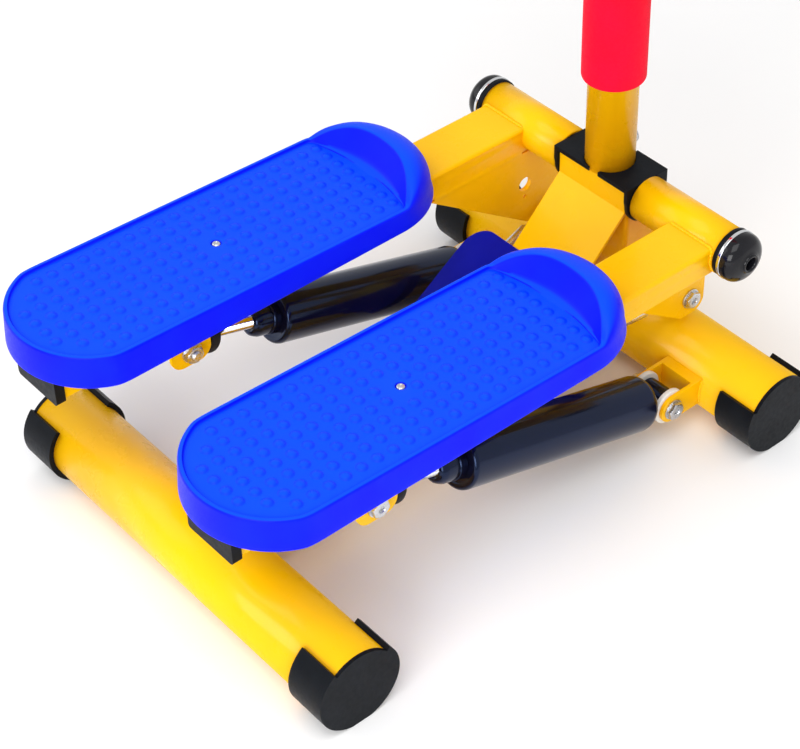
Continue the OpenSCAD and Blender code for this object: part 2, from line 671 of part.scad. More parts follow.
// Disc of width w lying along a pin
module eye(x, w, r) translate([x, 0, 0]) rotate([90, 0, 0])
    translate([0, 0, -w / 2]) cylinder(h = w, r = r);
module barrel(side) color(barrel_black) on_cyl(side) difference() {
    union() {
        eye(0, 21.6, 11);
        translate([4, -7, -8]) cube([16, 14, 16]);
        rotate([0, 90, 0]) rotate_extrude() polygon([
            [0, barrel_start], [cyl_r - 6, barrel_start], [cyl_r - 1.5, barrel_start + 2],
            [cyl_r, barrel_start + 5], [cyl_r, barrel_end - 4], [cyl_r - 2.5, barrel_end],
            [0, barrel_end]]);
    }
    axial_rod(barrel_start + 8, barrel_end - 10, cyl_r - 3);
    axial_rod(barrel_end - 12, barrel_end + 4, gland_neck_r + hair);
    eye(0, 40, pin_d / 2 + run_gap);
}
module gland(side) color(barrel_black) on_cyl(side) difference() {
    union() {
        axial_rod(barrel_end - 10, barrel_end + hair, gland_neck_r);
        rotate([0, 90, 0]) rotate_extrude() polygon([
            [0, barrel_end + hair], [12.5, barrel_end + hair], [12.5, gland_end - 5],
            [10.5, gland_end], [0, gland_end]]);
    }
    axial_rod(barrel_end - 20, gland_end + 5, rod_r + run_gap);
}
module piston_rod(side) color(steel) on_cyl(side) {
    axial_rod(172, rod_end, rod_r);
    axial_rod(160, 172 + hair, cyl_r - 3.1);
}
module rod_eye(side) color(steel) on_cyl(side) difference() {
    union() {
        eye(cyl_len, 20, 11);
        eye(cyl_len, 2 * (arm_out - cyl_x) - 7, 8.5);
        axial_rod(cyl_len - 18, cyl_len - 6, 7.5);
    }
    axial_rod(cyl_len - 22, rod_end + hair, rod_r + hair);
    eye(cyl_len, 60, 6.4);
}
module bumper(side) color(rubber) on_cyl(side)
    translate([cyl_len - 30, 0, 0]) rotate([0, 90, 0]) bevelled_sleeve(rod_r + hair, 15, 10);

// ---------- right and left nodes ----------
module right_arm_tube() at_axle() arm_tube(right);
module left_arm_tube() at_axle() arm_tube(left);
module right_sleeve() at_axle() sleeve(right);
module left_sleeve() at_axle() sleeve(left);
module right_bushings() at_axle() bushings(right);
module left_bushings() at_axle() bushings(left);
module right_crank_plate() at_axle() crank_plate(right);
module left_crank_plate() at_axle() crank_plate(left);
module right_cylinder_lug() at_axle() cylinder_lug(right);
module left_cylinder_lug() at_axle() cylinder_lug(left);
module right_end_plug() at_axle() end_plug(right);
module left_end_plug() at_axle() end_plug(left);
module right_pedal() at_axle() pedal(right);
module left_pedal() at_axle() pedal(left);
module right_arm_bolts() at_axle() arm_bolts(right);
module left_arm_bolts() at_axle() arm_bolts(left);
module right_barrel() at_axle() barrel(right);
module left_barrel() at_axle() barrel(left);
module right_gland() at_axle() gland(right);
module left_gland() at_axle() gland(left);
module right_piston_rod() at_axle() piston_rod(right);
module left_piston_rod() at_axle() piston_rod(left);
module right_rod_eye() at_axle() rod_eye(right);
module left_rod_eye() at_axle() rod_eye(left);
module right_bumper() at_axle() bumper(right);
module left_bumper() at_axle() bumper(left);

rear_base_tube();
front_base_tube();
centre_beam();
column();
brace_plate();
hub_tube();
post_spigot();
post_tube();
post_foam();
handlebar();
handlebar_grips();
handlebar_plugs();
rear_foot_cap_left();
rear_foot_cap_right();
front_foot_cap_left();
front_foot_cap_right();
hub_cover_left();
hub_cover_right();
axle();
axle_washers();
axle_screws();
axle_caps();
cylinder_bracket_left();
cylinder_bracket_right();
bracket_bolts();
bracket_washers();
rocker_bolt();
centre_cover();
cover_screws();
post_bolt();
right_arm_tube();
right_sleeve();
right_bushings();
right_crank_plate();
right_cylinder_lug();
right_end_plug();
right_pedal();
right_arm_bolts();
left_arm_tube();
left_sleeve();
left_bushings();
left_crank_plate();
left_cylinder_lug();
left_end_plug();
left_pedal();
left_arm_bolts();
right_barrel();
right_gland();
right_piston_rod();
right_rod_eye();
right_bumper();
left_barrel();
left_gland();
left_piston_rod();
left_rod_eye();
left_bumper();
rocker_bar();
right_link();
left_link();
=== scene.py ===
"""A small stepper exercise machine: two blue pedals on yellow arms, each arm on a hydraulic
cylinder, with a foam-covered post and handlebar on a floor frame.

The user faces +Y, right is +X and the floor is at z = 0. Shapes are written in millimetres,
with y measured from the pivot axle and z from the floor. Right-hand pieces are built first
and mirrored in x for the left.
"""
import bpy
import bmesh
import math
import json
import numpy as np
from math import pi
from mathutils import Vector, Matrix
from mathutils.geometry import delaunay_2d_cdt


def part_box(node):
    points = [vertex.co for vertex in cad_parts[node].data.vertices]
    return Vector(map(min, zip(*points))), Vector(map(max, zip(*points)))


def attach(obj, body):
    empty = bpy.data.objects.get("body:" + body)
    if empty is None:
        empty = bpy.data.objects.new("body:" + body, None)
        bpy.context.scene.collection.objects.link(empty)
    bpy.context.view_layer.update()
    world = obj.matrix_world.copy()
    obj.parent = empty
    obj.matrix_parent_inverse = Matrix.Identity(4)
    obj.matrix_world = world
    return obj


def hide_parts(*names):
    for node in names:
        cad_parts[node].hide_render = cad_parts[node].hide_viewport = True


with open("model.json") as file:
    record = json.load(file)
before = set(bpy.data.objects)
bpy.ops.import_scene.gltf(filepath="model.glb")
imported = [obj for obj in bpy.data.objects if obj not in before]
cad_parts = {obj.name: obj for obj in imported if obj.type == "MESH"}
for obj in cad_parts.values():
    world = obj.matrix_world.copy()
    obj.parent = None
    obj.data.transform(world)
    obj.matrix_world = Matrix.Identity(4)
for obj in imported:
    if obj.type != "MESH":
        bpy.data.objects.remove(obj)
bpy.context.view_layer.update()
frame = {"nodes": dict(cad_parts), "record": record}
nodes = frame["nodes"]
record = frame["record"]
BODY = {n: body for body, names in record["behaviour"]["bodies"].items() for n in names}
SLOT = {part["node"]: part["material_slot"] for part in record["subparts"]}
scene = bpy.context.scene
MM = 0.001
SIDES = ((1, "right"), (-1, "left"))
axle_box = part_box("axle")
AXLE_Y = (axle_box[0][1] + axle_box[1][1]) / 2 / MM      # in the frame's own y


# ------------------------------------------------------------------ materials
class Shader:
    """A material with one Principled shader; its methods add nodes."""

    def __init__(self, name):
        self.material = bpy.data.materials.new(name)
        self.material.use_nodes = True
        self.tree = self.material.node_tree
        self.tree.nodes.clear()
        output = self.node("ShaderNodeOutputMaterial")
        self.bsdf = self.node("ShaderNodeBsdfPrincipled")
        self.link(self.bsdf.outputs[0], output.inputs[0])
        self.coords = self.node("ShaderNodeTexCoord").outputs["Object"]

    def node(self, kind, **properties):
        node = self.tree.nodes.new(kind)
        for key, value in properties.items():
            setattr(node, key, value)
        return node

    def link(self, source, target):
        self.tree.links.new(source, target)

    def principled(self, **inputs):
        """Sets shader inputs; an underscore stands for a space."""
        for key, value in inputs.items():
            self.bsdf.inputs[key.replace("_", " ")].default_value = value

    def noise(self, scale, detail, roughness=0.5, mapped=False):
        """Noise in object space; mapped sends the coordinates through a plain Mapping node."""
        noise = self.node("ShaderNodeTexNoise")
        noise.inputs["Scale"].default_value = scale
        noise.inputs["Detail"].default_value = detail
        noise.inputs["Roughness"].default_value = roughness
        coords = self.coords
        if mapped:
            mapping = self.node("ShaderNodeMapping")
            self.link(coords, mapping.inputs[0])
            coords = mapping.outputs[0]
        self.link(coords, noise.inputs["Vector"])
        return noise.outputs["Fac"]

    def cells(self, scale):
        voronoi = self.node("ShaderNodeTexVoronoi")
        voronoi.inputs["Scale"].default_value = scale
        self.link(self.coords, voronoi.inputs["Vector"])
        return voronoi.outputs["Distance"]

    def occlusion(self, distance):
        occlusion = self.node("ShaderNodeAmbientOcclusion")
        occlusion.inputs["Distance"].default_value = distance
        occlusion.samples = 4
        return occlusion.outputs["AO"]

    def remap(self, value, low, high, start=0.3, end=0.7):
        """Maps start..end to low..high."""
        remap = self.node("ShaderNodeMapRange")
        for key, number in (("From Min", start), ("From Max", end),
                            ("To Min", low), ("To Max", high)):
            remap.inputs[key].default_value = number
        self.link(value, remap.inputs["Value"])
        return remap.outputs[0]

    def mottle(self, first, second, start=0.3, end=0.7, **noise):
        """Two colours blended by noise."""
        value = self.noise(**noise)
        ramp = self.node("ShaderNodeValToRGB")
        for stop, place_, colour in zip(ramp.color_ramp.elements, (start, end), (first, second)):
            stop.position = place_
            stop.color = (*colour, 1)
        self.link(value, ramp.inputs[0])
        return ramp.outputs[0]

    def mix(self, factor, first, second):
        """Blends two colours, each a tuple or a socket."""
        mix = self.node("ShaderNodeMix", data_type="RGBA", blend_type="MIX")
        self.link(factor, mix.inputs[0])
        for socket, colour in ((mix.inputs[6], first), (mix.inputs[7], second)):
            if isinstance(colour, tuple):
                socket.default_value = (*colour, 1)
            else:
                self.link(colour, socket)
        return mix.outputs[2]

    def base(self, colour):
        self.link(colour, self.bsdf.inputs["Base Color"])

    def rough(self, low, high, **noise):
        self.link(self.remap(self.noise(**noise), low, high), self.bsdf.inputs["Roughness"])

    def bump(self, *layers):
        """Chains bump layers, each a dict of height, strength and distance (metres)."""
        normal = None
        for layer in layers:
            bump = self.node("ShaderNodeBump")
            bump.inputs["Strength"].default_value = layer["strength"]
            bump.inputs["Distance"].default_value = layer["distance"]
            self.link(layer["height"], bump.inputs["Height"])
            if normal is not None:
                self.link(normal, bump.inputs["Normal"])
            normal = bump.outputs[0]
        self.link(normal, self.bsdf.inputs["Normal"])


def paint_yellow():
    mat = Shader("paint_yellow")
    paint = mat.mottle((0.96, 0.515, 0.001), (0.99, 0.560, 0.0015), scale=14, detail=2)
    # Painted shade: the yellow is mixed towards a deep orange where ambient occlusion finds
    # nearby surfaces, in corners, creases and under parts.
    painted_shade_mask = mat.remap(mat.occlusion(distance=0.016), low=0.0, high=1.0, start=0.2, end=0.85)
    mat.base(mat.mix(painted_shade_mask, (0.86, 0.36, 0.001), paint))
    mat.rough(low=0.24, high=0.34, scale=60, detail=4)
    mat.principled(Coat_Weight=0.10, Coat_Roughness=0.08, Specular_IOR_Level=0.14)
    mat.bump(dict(height=mat.noise(scale=420, detail=2), strength=0.10, distance=0.00022),
             dict(height=mat.noise(scale=90, detail=2, roughness=0.4), strength=0.08,
                  distance=0.0006))
    return mat.material


def pedal_blue():
    """Painted light: lighter where the surface faces up, and painted shade in the creases."""
    mat = Shader("pedal_blue")
    # Painted light: the blue turns lighter as the normal points up, standing in for light from
    # above.
    geometry = mat.node("ShaderNodeNewGeometry")
    split = mat.node("ShaderNodeSeparateXYZ")
    mat.link(geometry.outputs["Normal"], split.inputs[0])
    painted_top_light = mat.remap(split.outputs["Z"], low=0.0, high=1.0, start=0.60, end=0.985)
    blue = mat.mix(painted_top_light, (0.0003, 0.0045, 0.90), (0.0008, 0.070, 1.0))
    patches = mat.remap(mat.noise(scale=30, detail=3), low=0.0, high=0.15)
    blue = mat.mix(patches, blue, (0.0008, 0.050, 0.95))
    # Painted shade: a deeper blue where ambient occlusion finds nearby surfaces, in the creases
    # and hollows.
    painted_shade_mask = mat.remap(mat.occlusion(distance=0.010), low=0.0, high=1.0, start=0.25, end=0.9)
    mat.base(mat.mix(painted_shade_mask, (0.0004, 0.010, 0.80), blue))
    mat.rough(low=0.34, high=0.48, scale=500, detail=3)
    mat.principled(Specular_IOR_Level=0.09)
    mat.bump(dict(height=mat.noise(scale=1500, detail=3, roughness=0.6), strength=0.22,
                  distance=0.00012),
             dict(height=mat.noise(scale=60, detail=2), strength=0.06, distance=0.0008))
    return mat.material


def plastic(name, first, second, low, high, specular, grain=0.35):
    """Grained plastic: two colours, a roughness range, specular level and grain strength."""
    mat = Shader(name)
    mat.base(mat.mottle(first, second, scale=45, detail=4))
    mat.rough(low, high, scale=300, detail=3)
    mat.principled(Specular_IOR_Level=specular)
    mat.bump(dict(height=mat.cells(scale=1300), strength=grain, distance=0.00008),
             dict(height=mat.noise(scale=70, detail=2), strength=0.10, distance=0.0005))
    return mat.material


def plastic_gloss_black():
    mat = Shader("plastic_gloss_black")
    mat.base(mat.mottle((0.004, 0.004, 0.006), (0.009, 0.009, 0.012), scale=80, detail=3))
    mat.rough(low=0.10, high=0.18, scale=120, detail=3)
    mat.principled(Coat_Weight=0.12, Coat_Roughness=0.05, Specular_IOR_Level=0.22)
    mat.bump(dict(height=mat.noise(scale=260, detail=2), strength=0.05, distance=0.0003))
    return mat.material


def metal(name, first, second, low, high, mapped=False, strength=0.12, scale=500):
    mat = Shader(name)
    mat.base(mat.mottle(first, second, start=0.25, end=0.75, scale=90, detail=4, roughness=0.6))
    mat.rough(low, high, scale=scale, detail=4, roughness=0.6, mapped=mapped)
    mat.principled(Metallic=1.0)
    mat.bump(dict(height=mat.noise(scale=scale * 1.5, detail=3, roughness=0.6, mapped=mapped),
                  strength=strength, distance=0.00008))
    return mat.material


def cylinder_black():
    mat = Shader("cylinder_black")
    mat.base(mat.mottle((0.0030, 0.0030, 0.010), (0.0045, 0.0042, 0.015), scale=40, detail=3))
    mat.rough(low=0.12, high=0.19, scale=200, detail=3)
    mat.principled(Coat_Weight=0.03, Coat_Roughness=0.05, Specular_IOR_Level=0.50,
                   Specular_Tint=(0.30, 0.48, 1.0, 1))
    mat.bump(dict(height=mat.noise(scale=300, detail=2), strength=0.04, distance=0.0002))
    return mat.material


def foam_red():
    mat = Shader("foam_red")
    cells = mat.cells(scale=900)
    red = mat.mottle((0.93, 0.002, 0.024), (1.0, 0.003, 0.036), scale=25, detail=4)
    pores = mat.remap(cells, low=0.0, high=0.25, start=0.35, end=0.8)
    mat.base(mat.mix(pores, red, (0.55, 0.002, 0.018)))
    mat.rough(low=0.62, high=0.80, scale=400, detail=3)
    mat.principled(Specular_IOR_Level=0.10, Sheen_Weight=0.06, Sheen_Roughness=0.4,
                   Sheen_Tint=(1, 0.35, 0.4, 1))
    mat.bump(dict(height=cells, strength=0.30, distance=0.00015),
             dict(height=mat.noise(scale=55, detail=3), strength=0.18, distance=0.0008))
    return mat.material


def floor_pale():
    mat = Shader("floor_pale")
    mat.base(mat.mottle((0.93, 0.93, 0.93), (0.95, 0.95, 0.95), scale=3, detail=3))
    mat.rough(low=0.75, high=0.85, scale=40, detail=2)
    mat.principled(Specular_IOR_Level=0.1)
    return mat.material


MATERIALS = {
    "paint_yellow": paint_yellow(),
    "pedal_blue": pedal_blue(),
    "plastic_black": plastic("plastic_black", (0.0032, 0.0042, 0.0062),
                             (0.0060, 0.0078, 0.0110), low=0.36, high=0.50, specular=0.09),
    "plastic_gloss_black": plastic_gloss_black(),
    "zinc": metal("zinc", (0.50, 0.51, 0.53), (0.72, 0.73, 0.75), low=0.20, high=0.38),
    "chrome": metal("chrome", (0.66, 0.67, 0.69), (0.78, 0.79, 0.80), low=0.07, high=0.16,
                    mapped=True, strength=0.03, scale=350),
    "cylinder_black": cylinder_black(),
    "nylon_white": plastic("nylon_white", (0.72, 0.72, 0.70), (0.82, 0.82, 0.80),
                           low=0.30, high=0.42, specular=0.45, grain=0.12),
    "cover_navy": plastic("cover_navy", (0.0012, 0.0035, 0.27), (0.0020, 0.0055, 0.33),
                          low=0.34, high=0.46, specular=0.10, grain=0.2),
    "foam_red": foam_red(),
    "rubber_black": plastic("rubber_black", (0.006, 0.006, 0.007), (0.011, 0.011, 0.013),
                            low=0.50, high=0.66, specular=0.22, grain=0.5),
}


# ------------------------------------------------------------------ mesh tools
# A shape is a pair: a list of points and a list of faces.
def weight_normals(ob):
    modifier = ob.modifiers.new("wn", "WEIGHTED_NORMAL")
    modifier.keep_sharp = True
    modifier.weight = 80


def make(name, shape, slot, body, replaced=None, angle=32, weighted=True, shift=AXLE_Y):
    """Makes a shape an object. shift takes its y from the axle to the frame's origin."""
    mesh = bpy.data.meshes.new(name)
    mesh.from_pydata([(x * MM, (y + shift) * MM, z * MM) for x, y, z in shape[0]], [],
                     [tuple(face) for face in shape[1]])
    mesh.update()
    bm = bmesh.new()
    bm.from_mesh(mesh)
    bmesh.ops.recalc_face_normals(bm, faces=bm.faces)
    bm.to_mesh(mesh)
    bm.free()
    ob = bpy.data.objects.new(name, mesh)
    scene.collection.objects.link(ob)
    for polygon in mesh.polygons:
        polygon.use_smooth = True
    mesh.set_sharp_from_angle(angle=math.radians(angle))
    if weighted:
        weight_normals(ob)
    mesh.materials.append(MATERIALS[slot])
    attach(ob, body)
    if replaced:
        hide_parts(replaced)


def join(*shapes):
    verts, faces = [], []
    for points, polygons in shapes:
        start = len(verts)
        verts += [tuple(point) for point in points]
        faces += [tuple(i + start for i in polygon) for polygon in polygons]
    return verts, faces


def mirror(shape, side):
    """Mirrors a right-hand shape in x when side is -1."""
    if side > 0:
        return shape
    return [(-x, y, z) for x, y, z in shape[0]], [tuple(reversed(f)) for f in shape[1]]


def both(shape):
    return join(shape, mirror(shape, -1))


def place(shape, origin, axis, toward=None):
    """Turns local z to axis and local x near toward, and moves the origin."""
    axis = np.array(axis, float)
    axis /= np.linalg.norm(axis)
    if toward is None:
        toward = (0, 0, 1) if abs(axis[2]) < 0.9 else (1, 0, 0)
    across = np.array(toward, float)
    across = across - axis * (across @ axis)
    across /= np.linalg.norm(across)
    turn = np.stack([across, np.cross(axis, across), axis], 1)
    return (np.array(shape[0], float) @ turn.T + np.array(origin, float)).tolist(), shape[1]


def pair_on_x(shape, x, z):
    """One copy at each end of a line along x at the axle's y, both facing outwards."""
    return join(*(place(shape, (s * x, 0, z), (s, 0, 0)) for s in (1, -1)))


def band(first, second, count):
    """Quads between two closed rings of vertices that start at first and second."""
    return [(first + i, first + (i + 1) % count, second + (i + 1) % count, second + i)
            for i in range(count)]


def revolve(profile, sides=72, loop=False, wave=None):
    """Turns (radius, height) points about z; wave(angle, height, radius) adds to the radius."""
    verts, faces, rings = [], [], []
    for radius, height in profile:
        on_axis = radius < 1e-6
        rings.append((len(verts), on_axis))
        if on_axis:
            verts.append((0.0, 0.0, height))
            continue
        for i in range(sides):
            a = 2 * pi * i / sides
            r = radius + (wave(a, height, radius) if wave else 0)
            verts.append((r * math.cos(a), r * math.sin(a), height))
    pairs = list(zip(rings, rings[1:])) + ([(rings[-1], rings[0])] if loop else [])
    for (low, low_on_axis), (high, high_on_axis) in pairs:
        if low_on_axis:
            faces += [(low, high + (i + 1) % sides, high + i) for i in range(sides)]
        elif high_on_axis:
            faces += [(low + i, low + (i + 1) % sides, high) for i in range(sides)]
        else:
            faces += band(low, high, sides)
    return verts, faces


def fillet(points, seg):
    """Rounds the corners of a closed polyline of (a, b) or (a, b, radius) points."""
    out = []
    for i, point in enumerate(points):
        radius = point[2] if len(point) > 2 else 0
        if radius <= 0:
            out.append((point[0], point[1]))
            continue
        corner = np.array(point[:2], float)
        back = np.array(points[i - 1][:2], float) - corner
        ahead = np.array(points[(i + 1) % len(points)][:2], float) - corner
        back_len, ahead_len = np.linalg.norm(back), np.linalg.norm(ahead)
        back, ahead = back / back_len, ahead / ahead_len
        half = math.acos(float(back @ ahead)) / 2
        reach = min(radius / math.tan(half), back_len * 0.49, ahead_len * 0.49)
        r = reach * math.tan(half)
        centre = corner + (back + ahead) / np.linalg.norm(back + ahead) * (r / math.sin(half))
        a0 = math.atan2(*(corner + back * reach - centre)[::-1])
        a1 = math.atan2(*(corner + ahead * reach - centre)[::-1])
        while a1 - a0 > pi:
            a1 -= 2 * pi
        while a1 - a0 < -pi:
            a1 += 2 * pi
        for k in range(seg + 1):
            a = a0 + (a1 - a0) * k / seg
            out.append((centre[0] + r * math.cos(a), centre[1] + r * math.sin(a)))
    return out


def collar(bore, radius, height, round_=0.35, seg=3, sides=64, inner=0):
    """A ring with rounded outer edges, and inner ones when inner is given."""
    return revolve(fillet([(bore, 0, inner), (radius, 0, round_), (radius, height, round_),
                           (bore, height, inner)], seg), sides, True)


def rod(radius, length, sides=40, point=0):
    return revolve([(0, 0), (radius, 0), (radius, length), (0, length + point)], sides)


def bevel_sharp(bm, width, seg):
    """Rounds the convex edges sharper than 30 degrees."""
    bmesh.ops.recalc_face_normals(bm, faces=bm.faces)
    edges = [e for e in bm.edges if len(e.link_faces) == 2 and e.is_convex
             and e.calc_face_angle(0) > math.radians(30)]
    if edges:
        bmesh.ops.bevel(bm, geom=edges, offset=width, segments=seg, profile=0.5,
                        affect="EDGES", clamp_overlap=True)


def take_shape(bm):
    shape = ([tuple(v.co) for v in bm.verts],
             [tuple(v.index for v in f.verts) for f in bm.faces])
    bm.free()
    return shape


def rounded_box(x0, x1, y0, y1, z0, z1):
    corners = [(x0, y0), (x1, y0), (x1, y1), (x0, y1)]
    bm = bmesh.new()
    verts = [bm.verts.new((x, y, z)) for z in (z0, z1) for x, y in corners]
    for face in [(3, 2, 1, 0), (4, 5, 6, 7)] + band(0, 4, 4):
        bm.faces.new([verts[i] for i in face])
    bevel_sharp(bm, 0.35, 2)
    bm.verts.ensure_lookup_table()
    return take_shape(bm)


def round_node(node, width, seg):
    """A copy of a CAD node with its sharp edges rounded, standing for the node."""
    bm = bmesh.new()
    bm.from_mesh(nodes[node].data)
    for v in bm.verts:
        v.co = v.co / MM
    bmesh.ops.remove_doubles(bm, verts=bm.verts, dist=0.002)
    bmesh.ops.dissolve_limit(bm, angle_limit=math.radians(0.4), verts=bm.verts, edges=bm.edges,
                             delimit=set())
    bevel_sharp(bm, width, seg)
    bmesh.ops.remove_doubles(bm, verts=bm.verts, dist=0.001)
    bm.verts.ensure_lookup_table()
    bm.verts.index_update()
    make(node + "_finished", take_shape(bm), SLOT[node], BODY[node], node, shift=0)


def weld_bead(path, radius, pitch, phase=0.0, closed=False):
    """A round bead along a path, swelling once per pitch."""
    sides = 8
    path = np.array(path, float)
    if closed:
        path = np.vstack([path, path[:1]])
    lengths = np.linalg.norm(np.diff(path, axis=0), axis=1)
    along = np.concatenate([[0], np.cumsum(lengths)])
    stops = np.linspace(0, along[-1], max(8, int(along[-1] / (pitch / 6))) + 1)
    centres = np.stack([np.interp(stops, along, path[:, i]) for i in range(3)], 1)
    if closed:
        centres = centres[:-1]
    count = len(centres)
    verts, faces = [], []
    for i in range(count):
        before = centres[(i - 1) % count if closed else max(i - 1, 0)]
        after = centres[(i + 1) % count if closed else min(i + 1, count - 1)]
        ahead = after - before
        ahead /= max(np.linalg.norm(ahead), 1e-9)
        across = np.cross(ahead, (0.31, 0.22, 0.93))
        across /= np.linalg.norm(across)
        other = np.cross(ahead, across)
        swell = 2 * pi * stops[i] / pitch + phase
        r = radius * (1 + 0.13 * math.cos(swell) + 0.06 * math.sin(0.37 * swell + phase * 3))
        if not closed:
            r *= min(1.0, 0.25 + min(i, count - 1 - i) / 5)
        for j in range(sides):
            a = 2 * pi * j / sides
            verts.append(tuple(centres[i] + r * (math.cos(a) * across + math.sin(a) * other)))
    for i in range(count if closed else count - 1):
        faces += band(i * sides, (i + 1) % count * sides, sides)
    if not closed:
        faces.append(tuple(range(sides - 1, -1, -1)))
        faces.append(tuple((count - 1) * sides + j for j in range(sides)))
    return verts, faces


def hex_head(flats, height, socket=0):
    """A chamfered hexagon along +z, flats across, with a recess of radius socket."""
    sides = 60
    corner = flats / 2 * 1.1547
    # share of the height, limit on the radius
    chamfer = ((0, corner + 1), (0.72, corner + 1), (0.78, corner), (0.86, corner - 0.35),
               (0.94, flats / 2 + 0.05), (1, flats / 2 - 0.55))

    def hexagon(a):
        return flats / 2 / math.cos((a + pi / 6) % (pi / 3) - pi / 6)

    rings = [([min(hexagon(2 * pi * i / sides), limit) for i in range(sides)], height * share)
             for share, limit in chamfer]
    rings.append(([flats / 2 - 1.0] * sides, height + 0.02))
    if socket:
        for radius, depth in ((socket + 0.3, 0), (socket, 0.4), (socket * 0.92, 1.6)):
            rings.append(([radius] * sides, height - depth))
    verts, faces = [], []
    for radii, z in rings:
        for i, r in enumerate(radii):
            a = 2 * pi * i / sides
            verts.append((r * math.cos(a), r * math.sin(a), z))
    last = (len(rings) - 1) * sides
    for start in range(0, last, sides):
        faces += band(start, start + sides, sides)
    bottom, top = len(verts), len(verts) + 1
    verts += [(0, 0, 0), (0, 0, rings[-1][1] - (0.2 if socket else 0))]
    for i in range(sides):
        j = (i + 1) % sides
        faces += [(bottom, j, i), (last + i, last + j, top)]
    return verts, faces


BOLT_R = 4.0


def thread_tip(length):
    """A bolt's free end along +z: rolled thread crests and a chamfered point."""
    pitch, root = 1.25, BOLT_R - 0.55
    profile = [(0, -1.0), (BOLT_R - 0.1, -1.0)]
    z = 0.0
    while z < length - 1.4:
        profile += [(BOLT_R, z), (BOLT_R, z + pitch * 0.25),
                    (root, z + pitch * 0.55), (root, z + pitch * 0.7)]
        z += pitch
    profile += [(BOLT_R, length - 1.1), (BOLT_R - 1.0, length), (0, length)]
    return revolve(profile, 48)


def cross_bolt(x0, x1, y, z):
    """A bolt along x through x0..x1, head outboard at x1, nut and thread end inboard."""
    flats = 13
    washer = collar(BOLT_R, flats / 2 + 1.9, 1.2)
    return join(
        place(rod(BOLT_R, x1 - x0 + 2), (x0 - 1, y, z), (1, 0, 0)),
        place(washer, (x1 + 0.05, y, z), (1, 0, 0)),
        place(hex_head(flats, 3.6, socket=2.6), (x1 + 1.25, y, z), (1, 0, 0), (0, 0.3, 1)),
        place(washer, (x0 - 1.25, y, z), (1, 0, 0)),
        place(hex_head(flats, 4.9), (x0 - 1.25, y, z), (-1, 0, 0), (0, 1, 0.2)),
        place(thread_tip(2.0), (x0 - 6.1, y, z), (-1, 0, 0)))


# ------------------------------------------------------------------ CAD nodes
SMOOTHED = ("centre_beam", "column", "right_arm_tube", "left_arm_tube", "right_link", "left_link")
for name, ob in nodes.items():
    mesh = ob.data
    if "custom_normal" in mesh.attributes:
        mesh.attributes.remove(mesh.attributes["custom_normal"])
    mesh.materials.clear()
    mesh.materials.append(MATERIALS[SLOT[name]])
    for polygon in mesh.polygons:
        polygon.use_smooth = True
        polygon.material_index = 0
    ob.modifiers.new("weld", "WELD").merge_threshold = 0.000002
    if name in SMOOTHED:
        weight_normals(ob)
    mesh.set_sharp_from_angle(angle=math.radians(30))


# ------------------------------------------------------------------ dimensions from the frame
def box(node):
    """The node's low and high corners in millimetres, y from the axle."""
    low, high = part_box(node)
    axle = np.array((0.0, AXLE_Y, 0.0))
    return np.array(low) / MM - axle, np.array(high) / MM - axle


pedal_lo, pedal_hi = box("right_pedal")
PED_X = (pedal_lo[0] + pedal_hi[0]) / 2
PED_HW = (pedal_hi[0] - pedal_lo[0]) / 2     # half width
HEEL_Y, TOE_Y = pedal_lo[1], pedal_hi[1]
PED_Z0, PED_TOP = pedal_lo[2], pedal_hi[2]
TOE_CY = TOE_Y - PED_HW                      # centre of the toe curve
HEEL_R = PED_HW + 4
HEEL_CY = HEEL_Y + HEEL_R                    # centre of the heel curve

arm_lo, arm_hi = box("right_arm_tube")
ARM_X0, ARM_X1 = arm_lo[0], arm_hi[0]
ARM_Z0, ARM_Z1 = arm_lo[2], arm_hi[2]

barrel_lo, barrel_hi = box("right_barrel")
CYL_X = (barrel_lo[0] + barrel_hi[0]) / 2
CYL_R = (barrel_hi[0] - barrel_lo[0]) / 2
PIN_Y, PIN_Z = -46.0, 35.0                   # cylinder's pin at the frame
EYE_Y, EYE_Z = -328.5, 120.0                 # cylinder's pin at the arm

# ------------------------------------------------------------------ pedals
TREAD_Z = PED_TOP - 15.0                     # at y = TREAD_REF_Y
TREAD_REF_Y = -300
TILT = math.tan(math.radians(1.8))           # the tread falls towards the toes
RIM_Z = TREAD_Z + 2.0
LEAN = 1.5                                   # the walls lean in by this much
RIM_W = 3.0                                  # flat top of the rim
RIM_RUN = 0.9                                # width of the slope inside the rim
SCREW_Y = -289.0                             # centre screw
END_SCREWS_Y = (-190, -400)
DOT_R, DOT_H = 4.6, 1.7
DOT_DX, DOT_DY = 12.6, 13.0


